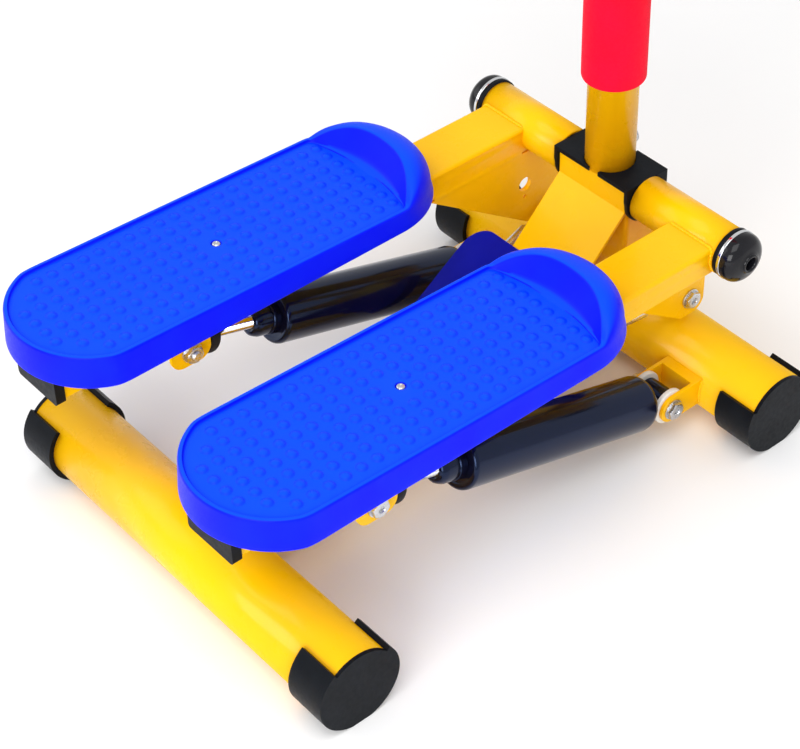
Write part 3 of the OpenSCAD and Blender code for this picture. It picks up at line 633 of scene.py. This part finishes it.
def pedal_stations():
    """Points round the pedal's edge from its +x side by the toe. Returns the outline, its
    inward normals, and per point: inset of the crest, width of the slope inside it, height
    of the crest and height where its rounding starts."""
    corner = math.acos(PED_HW / HEEL_R)
    corner_y = HEEL_CY - HEEL_R * math.sin(corner)
    side = TOE_CY - corner_y
    rows = []

    def rim(x, y, nx, ny):
        rows.append((x, y, nx, ny, LEAN + RIM_W, RIM_RUN, RIM_Z, RIM_Z - 3.0))

    # toe: the tread ends on an arc of larger radius, centred behind the toe curve
    arc_r, arc_back = 165.0, 149.0
    for i in range(73):
        a = pi * i / 72
        y = TOE_CY + PED_HW * math.sin(a)
        off = abs(pi / 2 - a)
        c = max(0.0, math.cos(off))
        arc = -arc_back * c + math.sqrt(arc_back ** 2 * c * c + arc_r ** 2 - arc_back ** 2)
        share = max(0.0, 1 - (off / math.radians(82)) ** 4)
        inset = LEAN + RIM_W + 24.8 * max(0.0, math.cos(min(pi / 2, off * 90 / 84))) ** 0.8
        top = PED_TOP - 0.05 + TILT * (y - TREAD_REF_Y)
        rows.append((PED_HW * math.cos(a), y, -math.cos(a), -math.sin(a), inset,
                     max(RIM_RUN, PED_HW - arc - inset), RIM_Z + (top - RIM_Z) * share,
                     RIM_Z - 3.0 - 6.0 * share))
    for i in range(1, 44):                       # -x side, going back
        rim(-PED_HW, TOE_CY - side * i / 44, 1, 0)
    for i in range(61):                          # heel
        a = pi + corner + (pi - 2 * corner) * i / 60
        rim(HEEL_R * math.cos(a), HEEL_CY + HEEL_R * math.sin(a), -math.cos(a), -math.sin(a))
    for i in range(1, 44):                       # +x side, going forwards
        rim(PED_HW, TOE_CY - side + side * i / 44, -1, 0)
    rows = np.array(rows)
    edge = rows[:, :4]
    for _ in range(3):                           # soften the two heel corners only
        near = (edge[:, 1] < corner_y + 9) & (np.abs(edge[:, 0]) > PED_HW * 0.86)
        softer = (np.roll(edge, 1, 0) + 2 * edge + np.roll(edge, -1, 0)) / 4
        edge = np.where(near[:, None], softer, edge)
    normals = edge[:, 2:] / np.linalg.norm(edge[:, 2:], axis=1)[:, None]
    return edge[:, :2], normals, *rows[:, 4:].T


def loop_tests(loop):
    """For a closed loop: a test for points inside it, and the gap to its nearest point."""
    ends = np.array(loop)
    starts = np.roll(ends, 1, 0)

    def inside(x, y):
        crossed = (starts[:, 1] > y) != (ends[:, 1] > y)
        with np.errstate(divide="ignore", invalid="ignore"):
            at = ((ends[:, 0] - starts[:, 0]) * (y - starts[:, 1])
                  / (ends[:, 1] - starts[:, 1]) + starts[:, 0])
        return bool(np.sum(crossed & (x < at)) % 2)

    def gap(x, y):
        return float(np.min(np.hypot(ends[:, 0] - x, ends[:, 1] - y)))

    return inside, gap


def tread_points(inside, gap):
    """(x, y, height) of the raised dots and of the flat grid between them."""
    centres = []
    for i in range(-5, 5):
        for j in range(-4, 26):
            x, y = (i + 0.5) * DOT_DX, -410.5 + DOT_DY * j
            if y > TOE_Y or y < HEEL_Y or not inside(x, y) or gap(x, y) < 5.4:
                continue
            if math.hypot(x, y - SCREW_Y) >= 8.0:
                centres.append((x, y))
    points = []

    def add(x, y, height):
        if math.hypot(x, y - SCREW_Y) > 5.0:
            points.append((x, y, height))

    # radius, points round it
    dot_rings = ((1.2, 6), (2.2, 10), (3.0, 14), (3.6, 16), (4.15, 16), (DOT_R, 16),
                 (DOT_R + 0.5, 16))
    for x, y in centres:
        add(x, y, DOT_H)
        for r, count in dot_rings:
            height = DOT_H * (1 - (min(r, DOT_R) / DOT_R) ** 2.6) ** 1.15
            for k in range(count):
                a = 2 * pi * k / count + r
                px, py = x + r * math.cos(a), y + r * math.sin(a)
                if gap(px, py) >= 0.8 and inside(px, py):
                    add(px, py, height)
    dots = np.array(centres)
    step = 3.1
    y = HEEL_Y + 4
    while y < TOE_Y:
        x = -PED_HW
        while x < PED_HW:
            if (inside(x, y) and gap(x, y) > 1.6
                    and np.min(np.hypot(dots[:, 0] - x, dots[:, 1] - y)) > DOT_R + 2.0):
                add(x, y, 0.0)
            x += step
        y += step
    return points


class Pedal:
    """The pedal moulding, centred on x = 0. The tread is level until tilted() is called."""
    # underside lip: inset, height above the lowest point
    LIP = ((3.2, 0.4), (3.0, 0), (1.6, 0), (0.5, 0.1), (0.1, 0.6))
    # inner slope: share of its run, extra inset, share of the fall from crest to tread
    SLOPE = ((0, 0, 0), (0.04, 0.12, 0.03), (0.10, 0.2, 0.12), (0.25, 0.15, 0.30),
             (0.42, 0.15, 0.50), (0.60, 0.15, 0.71), (0.74, 0.15, 0.86))
    # foot of the slope: share of the run, extra inset, more at the toe, height above the
    # tread, more at the toe. At the toe the rim carries on as a low step.
    FOOT = ((0.86, 0.10, 0, 0.15, 0.95), (1.0, 0.10, 1.2, 0.06, 0.80),
            (1.0, 0.35, 1.9, -0.25, 0.25), (1.0, 1.3, 1.9, 0, 0))

    def __init__(self):
        self.verts, self.faces = [], []
        (self.outline, self.inward, self.inset, self.run, self.crest,
         self.shoulder) = pedal_stations()
        self.count = len(self.outline)

    def ring(self, inset, height):
        start = len(self.verts)
        points = self.outline + self.inward * np.reshape(inset, (-1, 1))
        heights = np.broadcast_to(height, self.count)
        self.verts += np.column_stack((points, heights)).tolist()
        return start

    def skin(self, rings):
        for first, second in zip(rings, rings[1:]):
            self.faces += band(first, second, self.count)

    def walls(self):
        """Lip, outer wall, crest and inner slope. Returns the first and last rings."""
        rings = [self.ring(inset, PED_Z0 + rise) for inset, rise in self.LIP]
        wall_z = PED_Z0 + 1.4
        for t in (0.0, 0.25, 0.5, 0.75, 1.0):
            rings.append(self.ring(LEAN * t, wall_z + (self.shoulder - wall_z) * t))
        toe = np.clip((self.crest - RIM_Z) / (PED_TOP - RIM_Z), 0, 1)
        for u in (0.012, 0.03, 0.06, 0.10, 0.16, 0.24, 0.34, 0.46, 0.60, 0.74, 0.86, 0.94):
            # a quick small radius on the rim, a broad dome over the toe
            rim_rise = math.sqrt(1 - (1 - min(1.0, u / 0.46)) ** 2)
            toe_rise = (1 - (1 - u) ** 2.3) ** (1 / 2.3)
            rise = rim_rise * (1 - toe) + toe_rise * toe
            rings.append(self.ring(LEAN + (self.inset - LEAN) * u,
                                   self.shoulder + (self.crest - self.shoulder) * rise))
        for run, extra, fall in self.SLOPE:
            rings.append(self.ring(self.inset + self.run * run + extra,
                                   self.crest - (self.crest - TREAD_Z) * fall))
        step = np.minimum(1.0, toe * 3)
        for run, extra, toe_extra, lift, toe_lift in self.FOOT:
            rings.append(self.ring(self.inset + self.run * run + extra + toe_extra * step,
                                   TREAD_Z + lift + toe_lift * step))
        self.skin(rings)
        return rings[0], rings[-1]

    def tread(self, last):
        """The dotted tread inside the last ring, with a recess round the centre screw."""
        loop = [tuple(v[:2]) for v in self.verts[last:last + self.count]]
        inside, gap = loop_tests(loop)
        points = tread_points(inside, gap)
        turns = [2 * pi * k / 24 for k in range(24)]
        hole = [(4.3 * math.cos(a), SCREW_Y + 4.3 * math.sin(a)) for a in turns]
        n_loop, n_hole = len(loop), len(hole)
        edges = [(i, (i + 1) % n_loop) for i in range(n_loop)]
        edges += band_edges(n_loop, n_hole)
        flat = [Vector(p) for p in loop + hole] + [Vector(p[:2]) for p in points]
        spots, _, triangles, origins, _, _ = delaunay_2d_cdt(flat, edges, [], 0, 1e-4)
        heights = [0.0] * n_hole + [p[2] for p in points]
        index, previous = [], [None] * n_hole
        for spot, origin in zip(spots, origins):
            if origin and origin[0] < n_loop:
                index.append(last + origin[0])
            else:
                height = heights[origin[0] - n_loop] if origin else 0.0
                index.append(len(self.verts))
                self.verts.append((spot[0], spot[1], TREAD_Z + height))
            for i in origin:
                if n_loop <= i < n_loop + n_hole:
                    previous[i - n_loop] = index[-1]
        for face in triangles:
            middle = sum((spots[i] for i in face), Vector((0, 0))) / len(face)
            in_hole = math.hypot(middle[0], middle[1] - SCREW_Y) < 4.25
            if not in_hole and inside(middle[0], middle[1]):
                self.faces.append(tuple(index[i] for i in face))
        for r, depth in ((3.9, 0.25), (3.5, 1.2), (3.4, 1.6)):
            start = len(self.verts)
            self.verts += [(r * math.cos(a), SCREW_Y + r * math.sin(a), TREAD_Z - depth)
                           for a in turns]
            ring = list(range(start, start + n_hole))
            for k in range(n_hole):
                j = (k + 1) % n_hole
                self.faces.append((previous[k], previous[j], ring[j], ring[k]))
            previous = ring
        self.faces.append(tuple(previous))

    def underside(self, first, ceiling_z):
        """The hollow below the tread, closed by a flat ceiling."""
        rings = [first] + [self.ring(inset, z) for inset, z in
                           ((3.4, PED_Z0 + 2), (3.9, ceiling_z - 1.5), (5.2, ceiling_z))]
        for outer, inner in zip(rings, rings[1:]):
            self.faces += band(inner, outer, self.count)
        start = rings[-1]
        loop = [Vector(v[:2]) for v in self.verts[start:]]
        _, _, triangles, origins, _, _ = delaunay_2d_cdt(loop, band_edges(0, self.count), [],
                                                         1, 1e-4)
        for face in triangles:
            if all(origins[i] for i in face):
                self.faces.append(tuple(start + origins[i][0] for i in face))


def band_edges(start, count):
    """Edges of a closed loop of count points."""
    return [(start + i, start + (i + 1) % count) for i in range(count)]


def pedal_ribs(ceiling_z):
    """Two ribs along the pedal, five rows across and three screw bosses."""
    z0, z1 = PED_Z0 + 0.25, ceiling_z + 0.4
    half, rib_x = 1.25, 17
    ribs = [rounded_box(x - half, x + half, HEEL_CY - 44, TOE_CY + 40, z0, z1)
            for x in (-rib_x, rib_x)]
    for y in (-400, -345, -289, -235, -190):
        for x0, x1 in ((-PED_HW + 3.6, -rib_x - 1), (-rib_x + 1, rib_x - 1),
                       (rib_x + 1, PED_HW - 3.6)):
            ribs.append(rounded_box(x0, x1, y - half, y + half, z0, z1))
    height = z1 - z0
    boss = revolve(fillet([(2.4, 0), (6, 0, 0.6), (6, height), (2.4, height)], 3), 36, True)
    return ribs + [place(boss, (0, y, z0), (0, 0, 1)) for y in (-400, SCREW_Y, -190)]


def tilted(shape):
    """Shears the upper part down towards the toes, fading out at the underside."""
    low, high = PED_Z0 + 1.4, TREAD_Z - 4.0
    return [(x + PED_X, y, z - TILT * (y - TREAD_REF_Y)
             * min(1.0, max(0.0, (z - low) / (high - low)))) for x, y, z in shape[0]], shape[1]


def pedal_shape():
    ceiling_z = PED_Z0 + 14.6
    pedal = Pedal()
    first, last = pedal.walls()
    pedal.tread(last)
    pedal.underside(first, ceiling_z)
    return tilted(join((pedal.verts, pedal.faces), *pedal_ribs(ceiling_z)))


pedal = pedal_shape()
for s, side in SIDES:
    make(side + "_pedal_moulding", mirror(pedal, s), "pedal_blue", side + "_arm",
         side + "_pedal", angle=50, weighted=False)


# ------------------------------------------------------------------ foam, post and handlebar
def foam(bore, radius, length, round_, phase):
    """A foam sleeve along +z with rounded ends and a slightly uneven skin."""
    rows = int(length / 5.0)
    quarter = np.linspace(0, pi / 2, 7)
    profile = [(bore, 0)]
    profile += [(radius - round_ + round_ * math.sin(a), round_ - round_ * math.cos(a))
                for a in quarter]
    heights = [length * k / rows for k in range(1, rows)]
    profile += [(radius, h) for h in heights if round_ + 1 < h < length - round_ - 1]
    profile += [(radius - round_ + round_ * math.cos(a), length - round_ + round_ * math.sin(a))
                for a in quarter]
    profile += [(bore, length)]

    def wave(a, h, r):
        if r < radius - 0.5:
            return 0.0
        return (-0.14 + 0.06 * math.sin(h / 23 + phase)
                + 0.05 * math.sin(3 * a + h / 41 + phase) + 0.03 * math.sin(7 * a - h / 17))

    return revolve(profile, 80, True, wave)


foam_lo, foam_hi = box("post_foam")
post_lo, post_hi = box("post_tube")
sleeve = foam((post_hi[0] - post_lo[0]) / 2 + 0.05, (foam_hi[0] - foam_lo[0]) / 2,
              foam_hi[2] - foam_lo[2], round_=2.2, phase=0.4)
make("post_foam_sleeve", place(sleeve, (0, 0, foam_lo[2]), (0, 0, 1)), "foam_red", "frame",
     "post_foam")

grip_lo, grip_hi = box("handlebar_grips")
bar_lo, bar_hi = box("handlebar")
BAR_Z = (bar_lo[2] + bar_hi[2]) / 2
BAR_R = (bar_hi[2] - bar_lo[2]) / 2
GRIP_X0 = 48                                 # inner end of each grip
grips = [place(foam(BAR_R + 0.05, (grip_hi[2] - grip_lo[2]) / 2, grip_hi[0] - GRIP_X0,
                    round_=2.4, phase=1.3 + s), (s * GRIP_X0, 0, BAR_Z), (s, 0, 0))
         for s in (1, -1)]
make("handlebar_foam_grips", join(*grips), "foam_red", "frame", "handlebar_grips")

plug = revolve([(0, -12), (BAR_R - 1.7, -12), (BAR_R - 1.7, 0.0), (BAR_R, 0.05), (BAR_R, 0.9),
                (BAR_R - 0.25, 1.7), (BAR_R - 0.9, 2.3), (BAR_R - 2.0, 2.75),
                (BAR_R - 4, 2.95), (0, 3.0)], 64)
make("handlebar_end_plugs", pair_on_x(plug, bar_hi[0], BAR_Z), "plastic_black", "frame",
     "handlebar_plugs")

# ------------------------------------------------------------------ axle caps and washers
cap_lo, cap_hi = box("axle_caps")
AXLE_Z = (cap_lo[2] + cap_hi[2]) / 2
AXLE_X1 = box("axle")[1][0]
WASHER_X1 = box("axle_washers")[1][0]
CAP_X = WASHER_X1 + 0.1


def dome_cap():
    """A dome with a raised lip round a hollow in its middle."""
    radius = 19.1
    top = cap_hi[0] - CAP_X
    profile = [(7.2, 0.0), (18.9, 0.0), (radius, 0.3), (radius, 2.2)]
    profile += [(radius * math.cos(a) ** 0.62, 2.2 + 10.4 * math.sin(a))
                for a in np.linspace(0.12, 1.26, 14)]
    lip = profile[-1][1]
    profile += [(8.4, lip + 0.55), (7.7, lip + 0.7), (7.5, min(top, lip + 1.5)),
                (7.0, min(top, lip + 1.9)), (6.2, min(top, lip + 1.95)),
                (5.4, min(top, lip + 1.6)), (4.9, lip + 0.6), (4.4, lip - 2.0),
                (4.0, lip - 5.5), (7.2, lip - 6.0)]
    return revolve(profile, 96, True)


make("axle_dome_caps", pair_on_x(dome_cap(), CAP_X, AXLE_Z), "plastic_gloss_black", "frame",
     "axle_caps", angle=40)
end_washer = collar(4.1, 19.6, WASHER_X1 - AXLE_X1 - 0.05, 0.6, seg=4, sides=96)
make("axle_end_washers", pair_on_x(end_washer, AXLE_X1 + 0.05, AXLE_Z), "chrome", "frame",
     "axle_washers")

# ------------------------------------------------------------------ cylinder brackets' fittings
NYLON_T = 4
NYLON_GAP = 10.95                            # from the cylinder's middle to each washer
BRACKET_HW = 18                              # half the width over the bracket's plates
nylon = collar(4.1, 14.5, NYLON_T, 1.0, seg=4, sides=72)
washers = [place(nylon, (x, PIN_Y, PIN_Z), (1, 0, 0))
           for x in (CYL_X - NYLON_GAP - NYLON_T, CYL_X + NYLON_GAP)]
make("bracket_nylon_washers", both(join(*washers)), "nylon_white", "frame", "bracket_washers")
make("bracket_bolts_and_nuts",
     both(cross_bolt(CYL_X - BRACKET_HW, CYL_X + BRACKET_HW, PIN_Y, PIN_Z)),
     "zinc", "frame", "bracket_bolts")

# ------------------------------------------------------------------ arm bolts
CRANK_X1 = box("right_crank_plate")[1][0]
CRANK_Y, CRANK_Z = 10.0, 85.5
CRANK_NUT_X = 67.2


def crank_bolt():
    def at(shape, x, way, toward=None):
        return place(shape, (x, CRANK_Y, CRANK_Z), (way, 0, 0), toward)

    flats = 12.6
    return [at(rod(BOLT_R, CRANK_X1 - 66), 67, 1),
            at(collar(BOLT_R, 8.2, 1.3), CRANK_X1 + 0.05, 1),
            at(hex_head(flats, 3.6, socket=2.6), CRANK_X1 + 1.35, 1, (0, 0.5, 1)),
            at(hex_head(flats, 5.0), CRANK_NUT_X, -1, (0, 1, 0.4)),
            at(thread_tip(2.2), CRANK_NUT_X - 5.1, -1)]


def pedal_screws():
    """Two screws from under the arm, and one from above through the tread."""
    arm_h = ARM_Z1 - ARM_Z0
    low_head = revolve([(0, 0), (4.5, 0.4), (4.5, 1.6), (3.9, 2.6), (2.6, 3.2), (2.2, 3.25),
                        (1.9, 2.2), (0, 2.0)], 48)
    shapes = []
    for y in END_SCREWS_Y:
        shapes.append(place(low_head, (PED_X, y, ARM_Z0 - 0.1), (0, 0, -1)))
        shapes.append(place(rod(2, arm_h + 6, 24, point=1), (PED_X, y, ARM_Z0), (0, 0, 1)))
    top_head = revolve([(0, 0), (3.0, 0), (3.1, 0.25), (2.8, 0.75), (2.1, 1.15), (1.1, 1.3),
                        (0.9, 0.9), (0, 0.8)], 48)
    head_z = TREAD_Z - TILT * (SCREW_Y - TREAD_REF_Y) - 1.0
    shapes.append(place(top_head, (PED_X, SCREW_Y, head_z), (0, 0, 1)))
    shapes.append(place(rod(2, TREAD_Z - ARM_Z0 - 0.6, 24), (PED_X, SCREW_Y, ARM_Z0 - 0.5),
                        (0, 0, 1)))
    return shapes


arm_bolts = join(cross_bolt(2 * CYL_X - ARM_X1, ARM_X1, EYE_Y, EYE_Z), *crank_bolt(),
                 *pedal_screws())
for s, side in SIDES:
    make(side + "_arm_bolts_and_nuts", mirror(arm_bolts, s), "zinc", side + "_arm",
         side + "_arm_bolts")

# ------------------------------------------------------------------ hydraulic cylinders
# Heights in the profiles run along the cylinder from its frame pin.
CYL_LEN = math.hypot(EYE_Y - PIN_Y, EYE_Z - PIN_Z)       # pin to pin
CYL_AXIS = np.array([0, (EYE_Y - PIN_Y) / CYL_LEN, (EYE_Z - PIN_Z) / CYL_LEN])
ROD_BORE = 5.08


def on_cylinder(shape):
    return place(shape, (CYL_X, PIN_Y, PIN_Z), CYL_AXIS, (1, 0, 0))


def cross_eye(bore, radius, width, along, round_):
    """A ring across the cylinder, centred on it."""
    origin = np.array([CYL_X - width / 2, PIN_Y, PIN_Z]) + CYL_AXIS * along
    return place(collar(bore, radius, width, round_, seg=4, inner=0.3), origin, (1, 0, 0))


def near_eye(points, sides, loop=False):
    """A turned piece with heights measured from the arm pin."""
    return on_cylinder(revolve([(r, CYL_LEN + h) for r, h in points], sides, loop))


def barrel():
    """Domed nose with a rolled shoulder, rolled-in rear end, and the welded frame eye."""
    nose = [(0, 15.6), (9.5, 15.6), (12.5, 15.9), (15.2, 16.5), (17.4, 17.5), (19.0, 18.9),
            (20.2, 20.7), (20.8, 22.6), (CYL_R, 25)]
    tail = [(CYL_R, 204.6), (CYL_R - 0.35, 206.2), (CYL_R - 1.2, 207.4), (CYL_R - 2.6, 208.0),
            (CYL_R - 5.5, 207.7), (CYL_R - 6.4, 207.2), (9.2, 207.2), (9.2, 198), (18.2, 198),
            (18.2, 24), (0, 24)]
    neck = [(0, 6), (7.5, 6), (8.2, 9), (9.2, 12.5), (11.5, 15.2), (12.6, 16.6), (0, 16.8)]
    turns = [2 * pi * k / 48 for k in range(48)]
    weld = [(13.2 * math.cos(a), 13.2 * math.sin(a), 16.1) for a in turns]
    return join(on_cylinder(revolve(nose + tail, 96)), on_cylinder(revolve(neck, 48)),
                cross_eye(4.1, 11, 21.6, 0, 1.2),
                on_cylinder(weld_bead(weld, 0.9, pitch=2.6, closed=True)))


def gland():
    return on_cylinder(revolve(
        [(ROD_BORE, 198.4), (8.9, 198.4), (8.9, 207.3), (12.3, 207.3), (12.7, 207.9),
         (12.7, 213.5), (12.2, 214.1), (11.3, 214.4), (11.3, 216.0), (12.0, 216.4),
         (12.3, 217.0), (12.2, 224.0), (11.6, 226.0), (10.6, 228.4), (9.2, 229.5),
         (7.6, 230.0), (6.6, 229.7), (5.6, 228.7), (ROD_BORE, 228.2)], 72, True))


def rod_eye():
    # the neck's (7.9, -8) corner is doubled
    neck = [(ROD_BORE, -18), (6.9, -18), (7.5, -17.3), (7.5, -10), (7.9, -8), (7.9, -8),
            (ROD_BORE, -8)]
    return join(cross_eye(6.4, 11, 20, CYL_LEN, 1.4),
                cross_eye(6.4, 8.5, 2 * (ARM_X1 - CYL_X) - 7, CYL_LEN, 0.5),
                near_eye(neck, 48, True),
                near_eye([(0, -9.4), (7.4, -9.6), (7.8, -6.8), (0, -6.6)], 48))


def bumper():
    return near_eye([(5.05, -29.8), (11.8, -30), (13.6, -29.4), (14.6, -28.1), (15.0, -26.4),
                     (15.0, -23.6), (14.6, -21.9), (13.6, -20.6), (11.8, -20),
                     (5.05, -20.2)], 72, True)


# object, shape, material, body, node it replaces, sharp angle
CYLINDER_PARTS = (
    ("_barrel_tube", barrel(), "cylinder_black", "_cylinder_body", "_barrel", 38),
    ("_gland_cap", gland(), "cylinder_black", "_cylinder_body", "_gland", 38),
    ("_rod_end_eye", rod_eye(), "zinc", "_cylinder_rod", "_rod_eye", 38),
    ("_rubber_bumper", bumper(), "rubber_black", "_cylinder_rod", "_bumper", 50),
)
for s, side in SIDES:
    for name, shape, slot, body, node, angle in CYLINDER_PARTS:
        make(side + name, mirror(shape, s), slot, side + body, side + node, angle=angle)

# ------------------------------------------------------------------ plates, plugs and covers
# edge rounding, segments, nodes
ROUNDED = (
    (0.9, 3, ("hub_cover_left", "hub_cover_right")),
    (0.7, 3, ("right_end_plug", "left_end_plug")),
    (0.45, 2, ("right_crank_plate", "left_crank_plate")),
    (0.4, 2, ("right_cylinder_lug", "left_cylinder_lug",
              "cylinder_bracket_right", "cylinder_bracket_left")),
    (0.5, 2, ("brace_plate", "rocker_bar")),
    (1.1, 3, ("centre_cover",)),
    (0.8, 3, ("rear_foot_cap_left", "rear_foot_cap_right",
              "front_foot_cap_left", "front_foot_cap_right")),
)
for width, seg, names in ROUNDED:
    for name in names:
        round_node(name, width, seg)

# ------------------------------------------------------------------ welds
front_lo, front_hi = box("front_base_tube")
rear_lo, rear_hi = box("rear_base_tube")
column_lo, column_hi = box("column")
beam_hi = box("centre_beam")[1]
sleeve_lo, sleeve_hi = box("right_sleeve")
FRONT_Y, REAR_Y = (front_lo[1] + front_hi[1]) / 2, (rear_lo[1] + rear_hi[1]) / 2
BASE_Z, BASE_R = (front_lo[2] + front_hi[2]) / 2, (front_hi[2] - front_lo[2]) / 2
SLEEVE_R = (sleeve_hi[2] - sleeve_lo[2]) / 2


def base_top(y):
    """Height of the front base tube's upper surface at y."""
    return BASE_Z + math.sqrt(max(0.0, BASE_R * BASE_R - (y - FRONT_Y) ** 2))


def base_reach(z):
    """How far a base tube reaches from its centre line in y at height z."""
    return math.sqrt(BASE_R * BASE_R - (z - BASE_Z) ** 2)


def column_weld():
    """Round the column's foot on the front base tube."""
    half, y0, y1 = column_hi[0], column_lo[1], column_hi[1]
    path = [(half + 0.2, y, base_top(y)) for y in np.linspace(y0 + 2, y1 - 2, 9)]
    path += [(x, y1 + 0.2, base_top(y1 + 0.2)) for x in np.linspace(half - 2, -half + 2, 12)]
    path += [(-half - 0.2, y, base_top(y)) for y in np.linspace(y1 - 2, y0 + 2, 9)]
    path += [(x, y0 - 0.2, base_top(y0 - 0.2)) for x in np.linspace(-half + 2, half - 2, 12)]
    return weld_bead(path, 1.5, pitch=2.8, phase=0.7, closed=True)


def beam_weld():
    """Up one side, over the top and down the other where the beam meets the rear tube."""
    half, top = beam_hi[0], beam_hi[2]

    def flank(s):
        return [(s * (half + 0.1), REAR_Y + base_reach(z) + 0.2, z)
                for z in np.linspace(19.5, top - 1.5, 9)]

    over = [(x, REAR_Y + base_reach(top) + 0.3, top + 0.1)
            for x in np.linspace(-half + 2.5, half - 2.5, 9)]
    return weld_bead(flank(-1) + over + flank(1)[::-1], 1.5, pitch=2.8, phase=1.9)


def bracket_welds():
    """Upright beads on the outer faces of each bracket, at the front base tube."""
    beads = []
    for s in (1, -1):
        for k, x in enumerate((CYL_X - BRACKET_HW - 0.1, CYL_X + BRACKET_HW + 0.1)):
            path = [(x, FRONT_Y - base_reach(z) - 0.2, z) for z in np.linspace(24.5, 45.5, 8)]
            beads.append(mirror(weld_bead(path, 1.25, pitch=2.5, phase=0.4 + k + s), s))
    return join(*beads)


def arm_bead(phase):
    """Over the arm's top, down its outer face and back below, where it meets the sleeve."""
    top, bottom = ARM_Z1 - AXLE_Z, ARM_Z0 - AXLE_Z
    top_y, bottom_y = (-math.sqrt(SLEEVE_R ** 2 - z ** 2) for z in (top, bottom))
    a0, a1 = math.atan2(top, top_y), math.atan2(bottom, bottom_y) + 2 * pi
    r = SLEEVE_R + 0.1
    path = [(x, top_y - 0.3, ARM_Z1 + 0.15) for x in np.linspace(ARM_X0 + 2.4, ARM_X1 - 2.4, 10)]
    path += [(ARM_X1 + 0.1, r * math.cos(a), AXLE_Z + r * math.sin(a))
             for a in np.linspace(a0 + 0.12, a1 - 0.16, 8)]
    path += [(x, bottom_y - 0.3, ARM_Z0 - 0.1)
             for x in np.linspace(ARM_X1 - 2.4, ARM_X0 + 6.0, 10)]
    return weld_bead(path, 1.35, pitch=2.6, phase=phase)


def arm_filler():
    """Flush filling between the arm's rounded inner edge and the plate under it."""
    # x from the arm's inner face, z from its underside
    section = ((-0.05, -1.4), (-0.22, -0.4), (-0.26, 1.2), (-0.22, 2.6), (-0.04, 4.0),
               (1.6, 3.2), (3.2, 0.4), (1.0, -0.9))
    stations = [-106.5, -105.5, *np.linspace(-100, -24, 20), -18.5, -17.5]
    count, last = len(section), len(stations) - 1
    verts, faces = [], []
    for i, y in enumerate(stations):
        size = 0.35 if i in (0, last) else 1.0
        verts += [(ARM_X0 + 0.6 + (x - 0.6) * size, y, ARM_Z0 + 1 + (z - 1) * size)
                  for x, z in section]
    for i in range(last):
        faces += band(i * count, (i + 1) * count, count)
    faces += [tuple(range(count)), tuple(last * count + j for j in reversed(range(count)))]
    return verts, faces


make("column_foot_weld", column_weld(), "paint_yellow", "frame")
make("beam_end_weld", beam_weld(), "paint_yellow", "frame")
make("bracket_welds", bracket_welds(), "paint_yellow", "frame")
for s, side in SIDES:
    make(side + "_arm_welds", mirror(join(arm_bead(0.3 + s), arm_filler()), s),
         "paint_yellow", side + "_arm")


# ------------------------------------------------------------------ camera, floor and light
# From here on lengths are in metres.
def add_camera():
    """Behind the machine on its right, looking down at it."""
    turn, height, roll = (math.radians(a) for a in (51.0, 41.68, -1.82))
    x, y, z = 0.96225, -0.98669 + AXLE_Y * MM, 1.18637
    back = Vector((math.sin(turn) * math.cos(height), -math.cos(turn) * math.cos(height),
                   math.sin(height)))
    level = Vector((math.cos(turn), math.sin(turn), 0))
    upright = back.cross(level)
    right = level * math.cos(roll) + upright * math.sin(roll)
    up = -level * math.sin(roll) + upright * math.cos(roll)
    data = bpy.data.cameras.new("camera")
    data.lens = 102.43
    data.sensor_width = 36
    data.clip_start, data.clip_end = 0.05, 60
    camera = bpy.data.objects.new("camera", data)
    scene.collection.objects.link(camera)
    camera.matrix_world = Matrix(((right.x, up.x, back.x, x), (right.y, up.y, back.y, y),
                                  (right.z, up.z, back.z, z), (0, 0, 0, 1)))
    scene.camera = camera


def add_floor():
    half, cells, z = 6.0, 40, -0.0004
    ticks = [half * (i / cells - 0.5) * 2 for i in range(cells + 1)]
    bm = bmesh.new()
    grid = [[bm.verts.new((x, y, z)) for x in ticks] for y in ticks]
    for j in range(cells):
        for i in range(cells):
            bm.faces.new((grid[j][i], grid[j][i + 1], grid[j + 1][i + 1], grid[j + 1][i]))
    mesh = bpy.data.meshes.new("floor")
    bm.to_mesh(mesh)
    bm.free()
    floor = bpy.data.objects.new("floor", mesh)
    scene.collection.objects.link(floor)
    floor.data.materials.append(floor_pale())


def add_world():
    world = bpy.data.worlds.new("studio")
    world.use_nodes = True
    background = world.node_tree.nodes["Background"]
    background.inputs["Color"].default_value = (1.0, 1.0, 1.0, 1)
    background.inputs["Strength"].default_value = 0.77
    scene.world = world


def add_area(name, location, target, size, power):
    """An area light; location and target have y from the axle."""
    light = bpy.data.lights.new(name, "AREA")
    light.shape = "RECTANGLE"
    light.size, light.size_y = size
    light.energy = power
    ob = bpy.data.objects.new(name, light)
    scene.collection.objects.link(ob)
    ob.location = Vector(location) + Vector((0, AXLE_Y * MM, 0))
    ob.rotation_mode = "QUATERNION"
    ob.rotation_quaternion = (Vector(location) - Vector(target)).to_track_quat("Z", "Y")


add_camera()
add_floor()
add_world()
add_area("key", location=(0.7, -0.9, 2.3), target=(0, -0.2, 0.1), size=(1.6, 1.6), power=22)
add_area("fill", location=(-1.8, -1.4, 1.2), target=(0, -0.1, 0.2), size=(1.8, 1.4), power=10)
add_area("front", location=(1.0, -2.1, 0.9), target=(0, 0, 0.2), size=(1.4, 1.0), power=28)

scene.view_settings.view_transform = "Standard"
scene.view_settings.look = "None"
scene.view_settings.exposure = 0.0
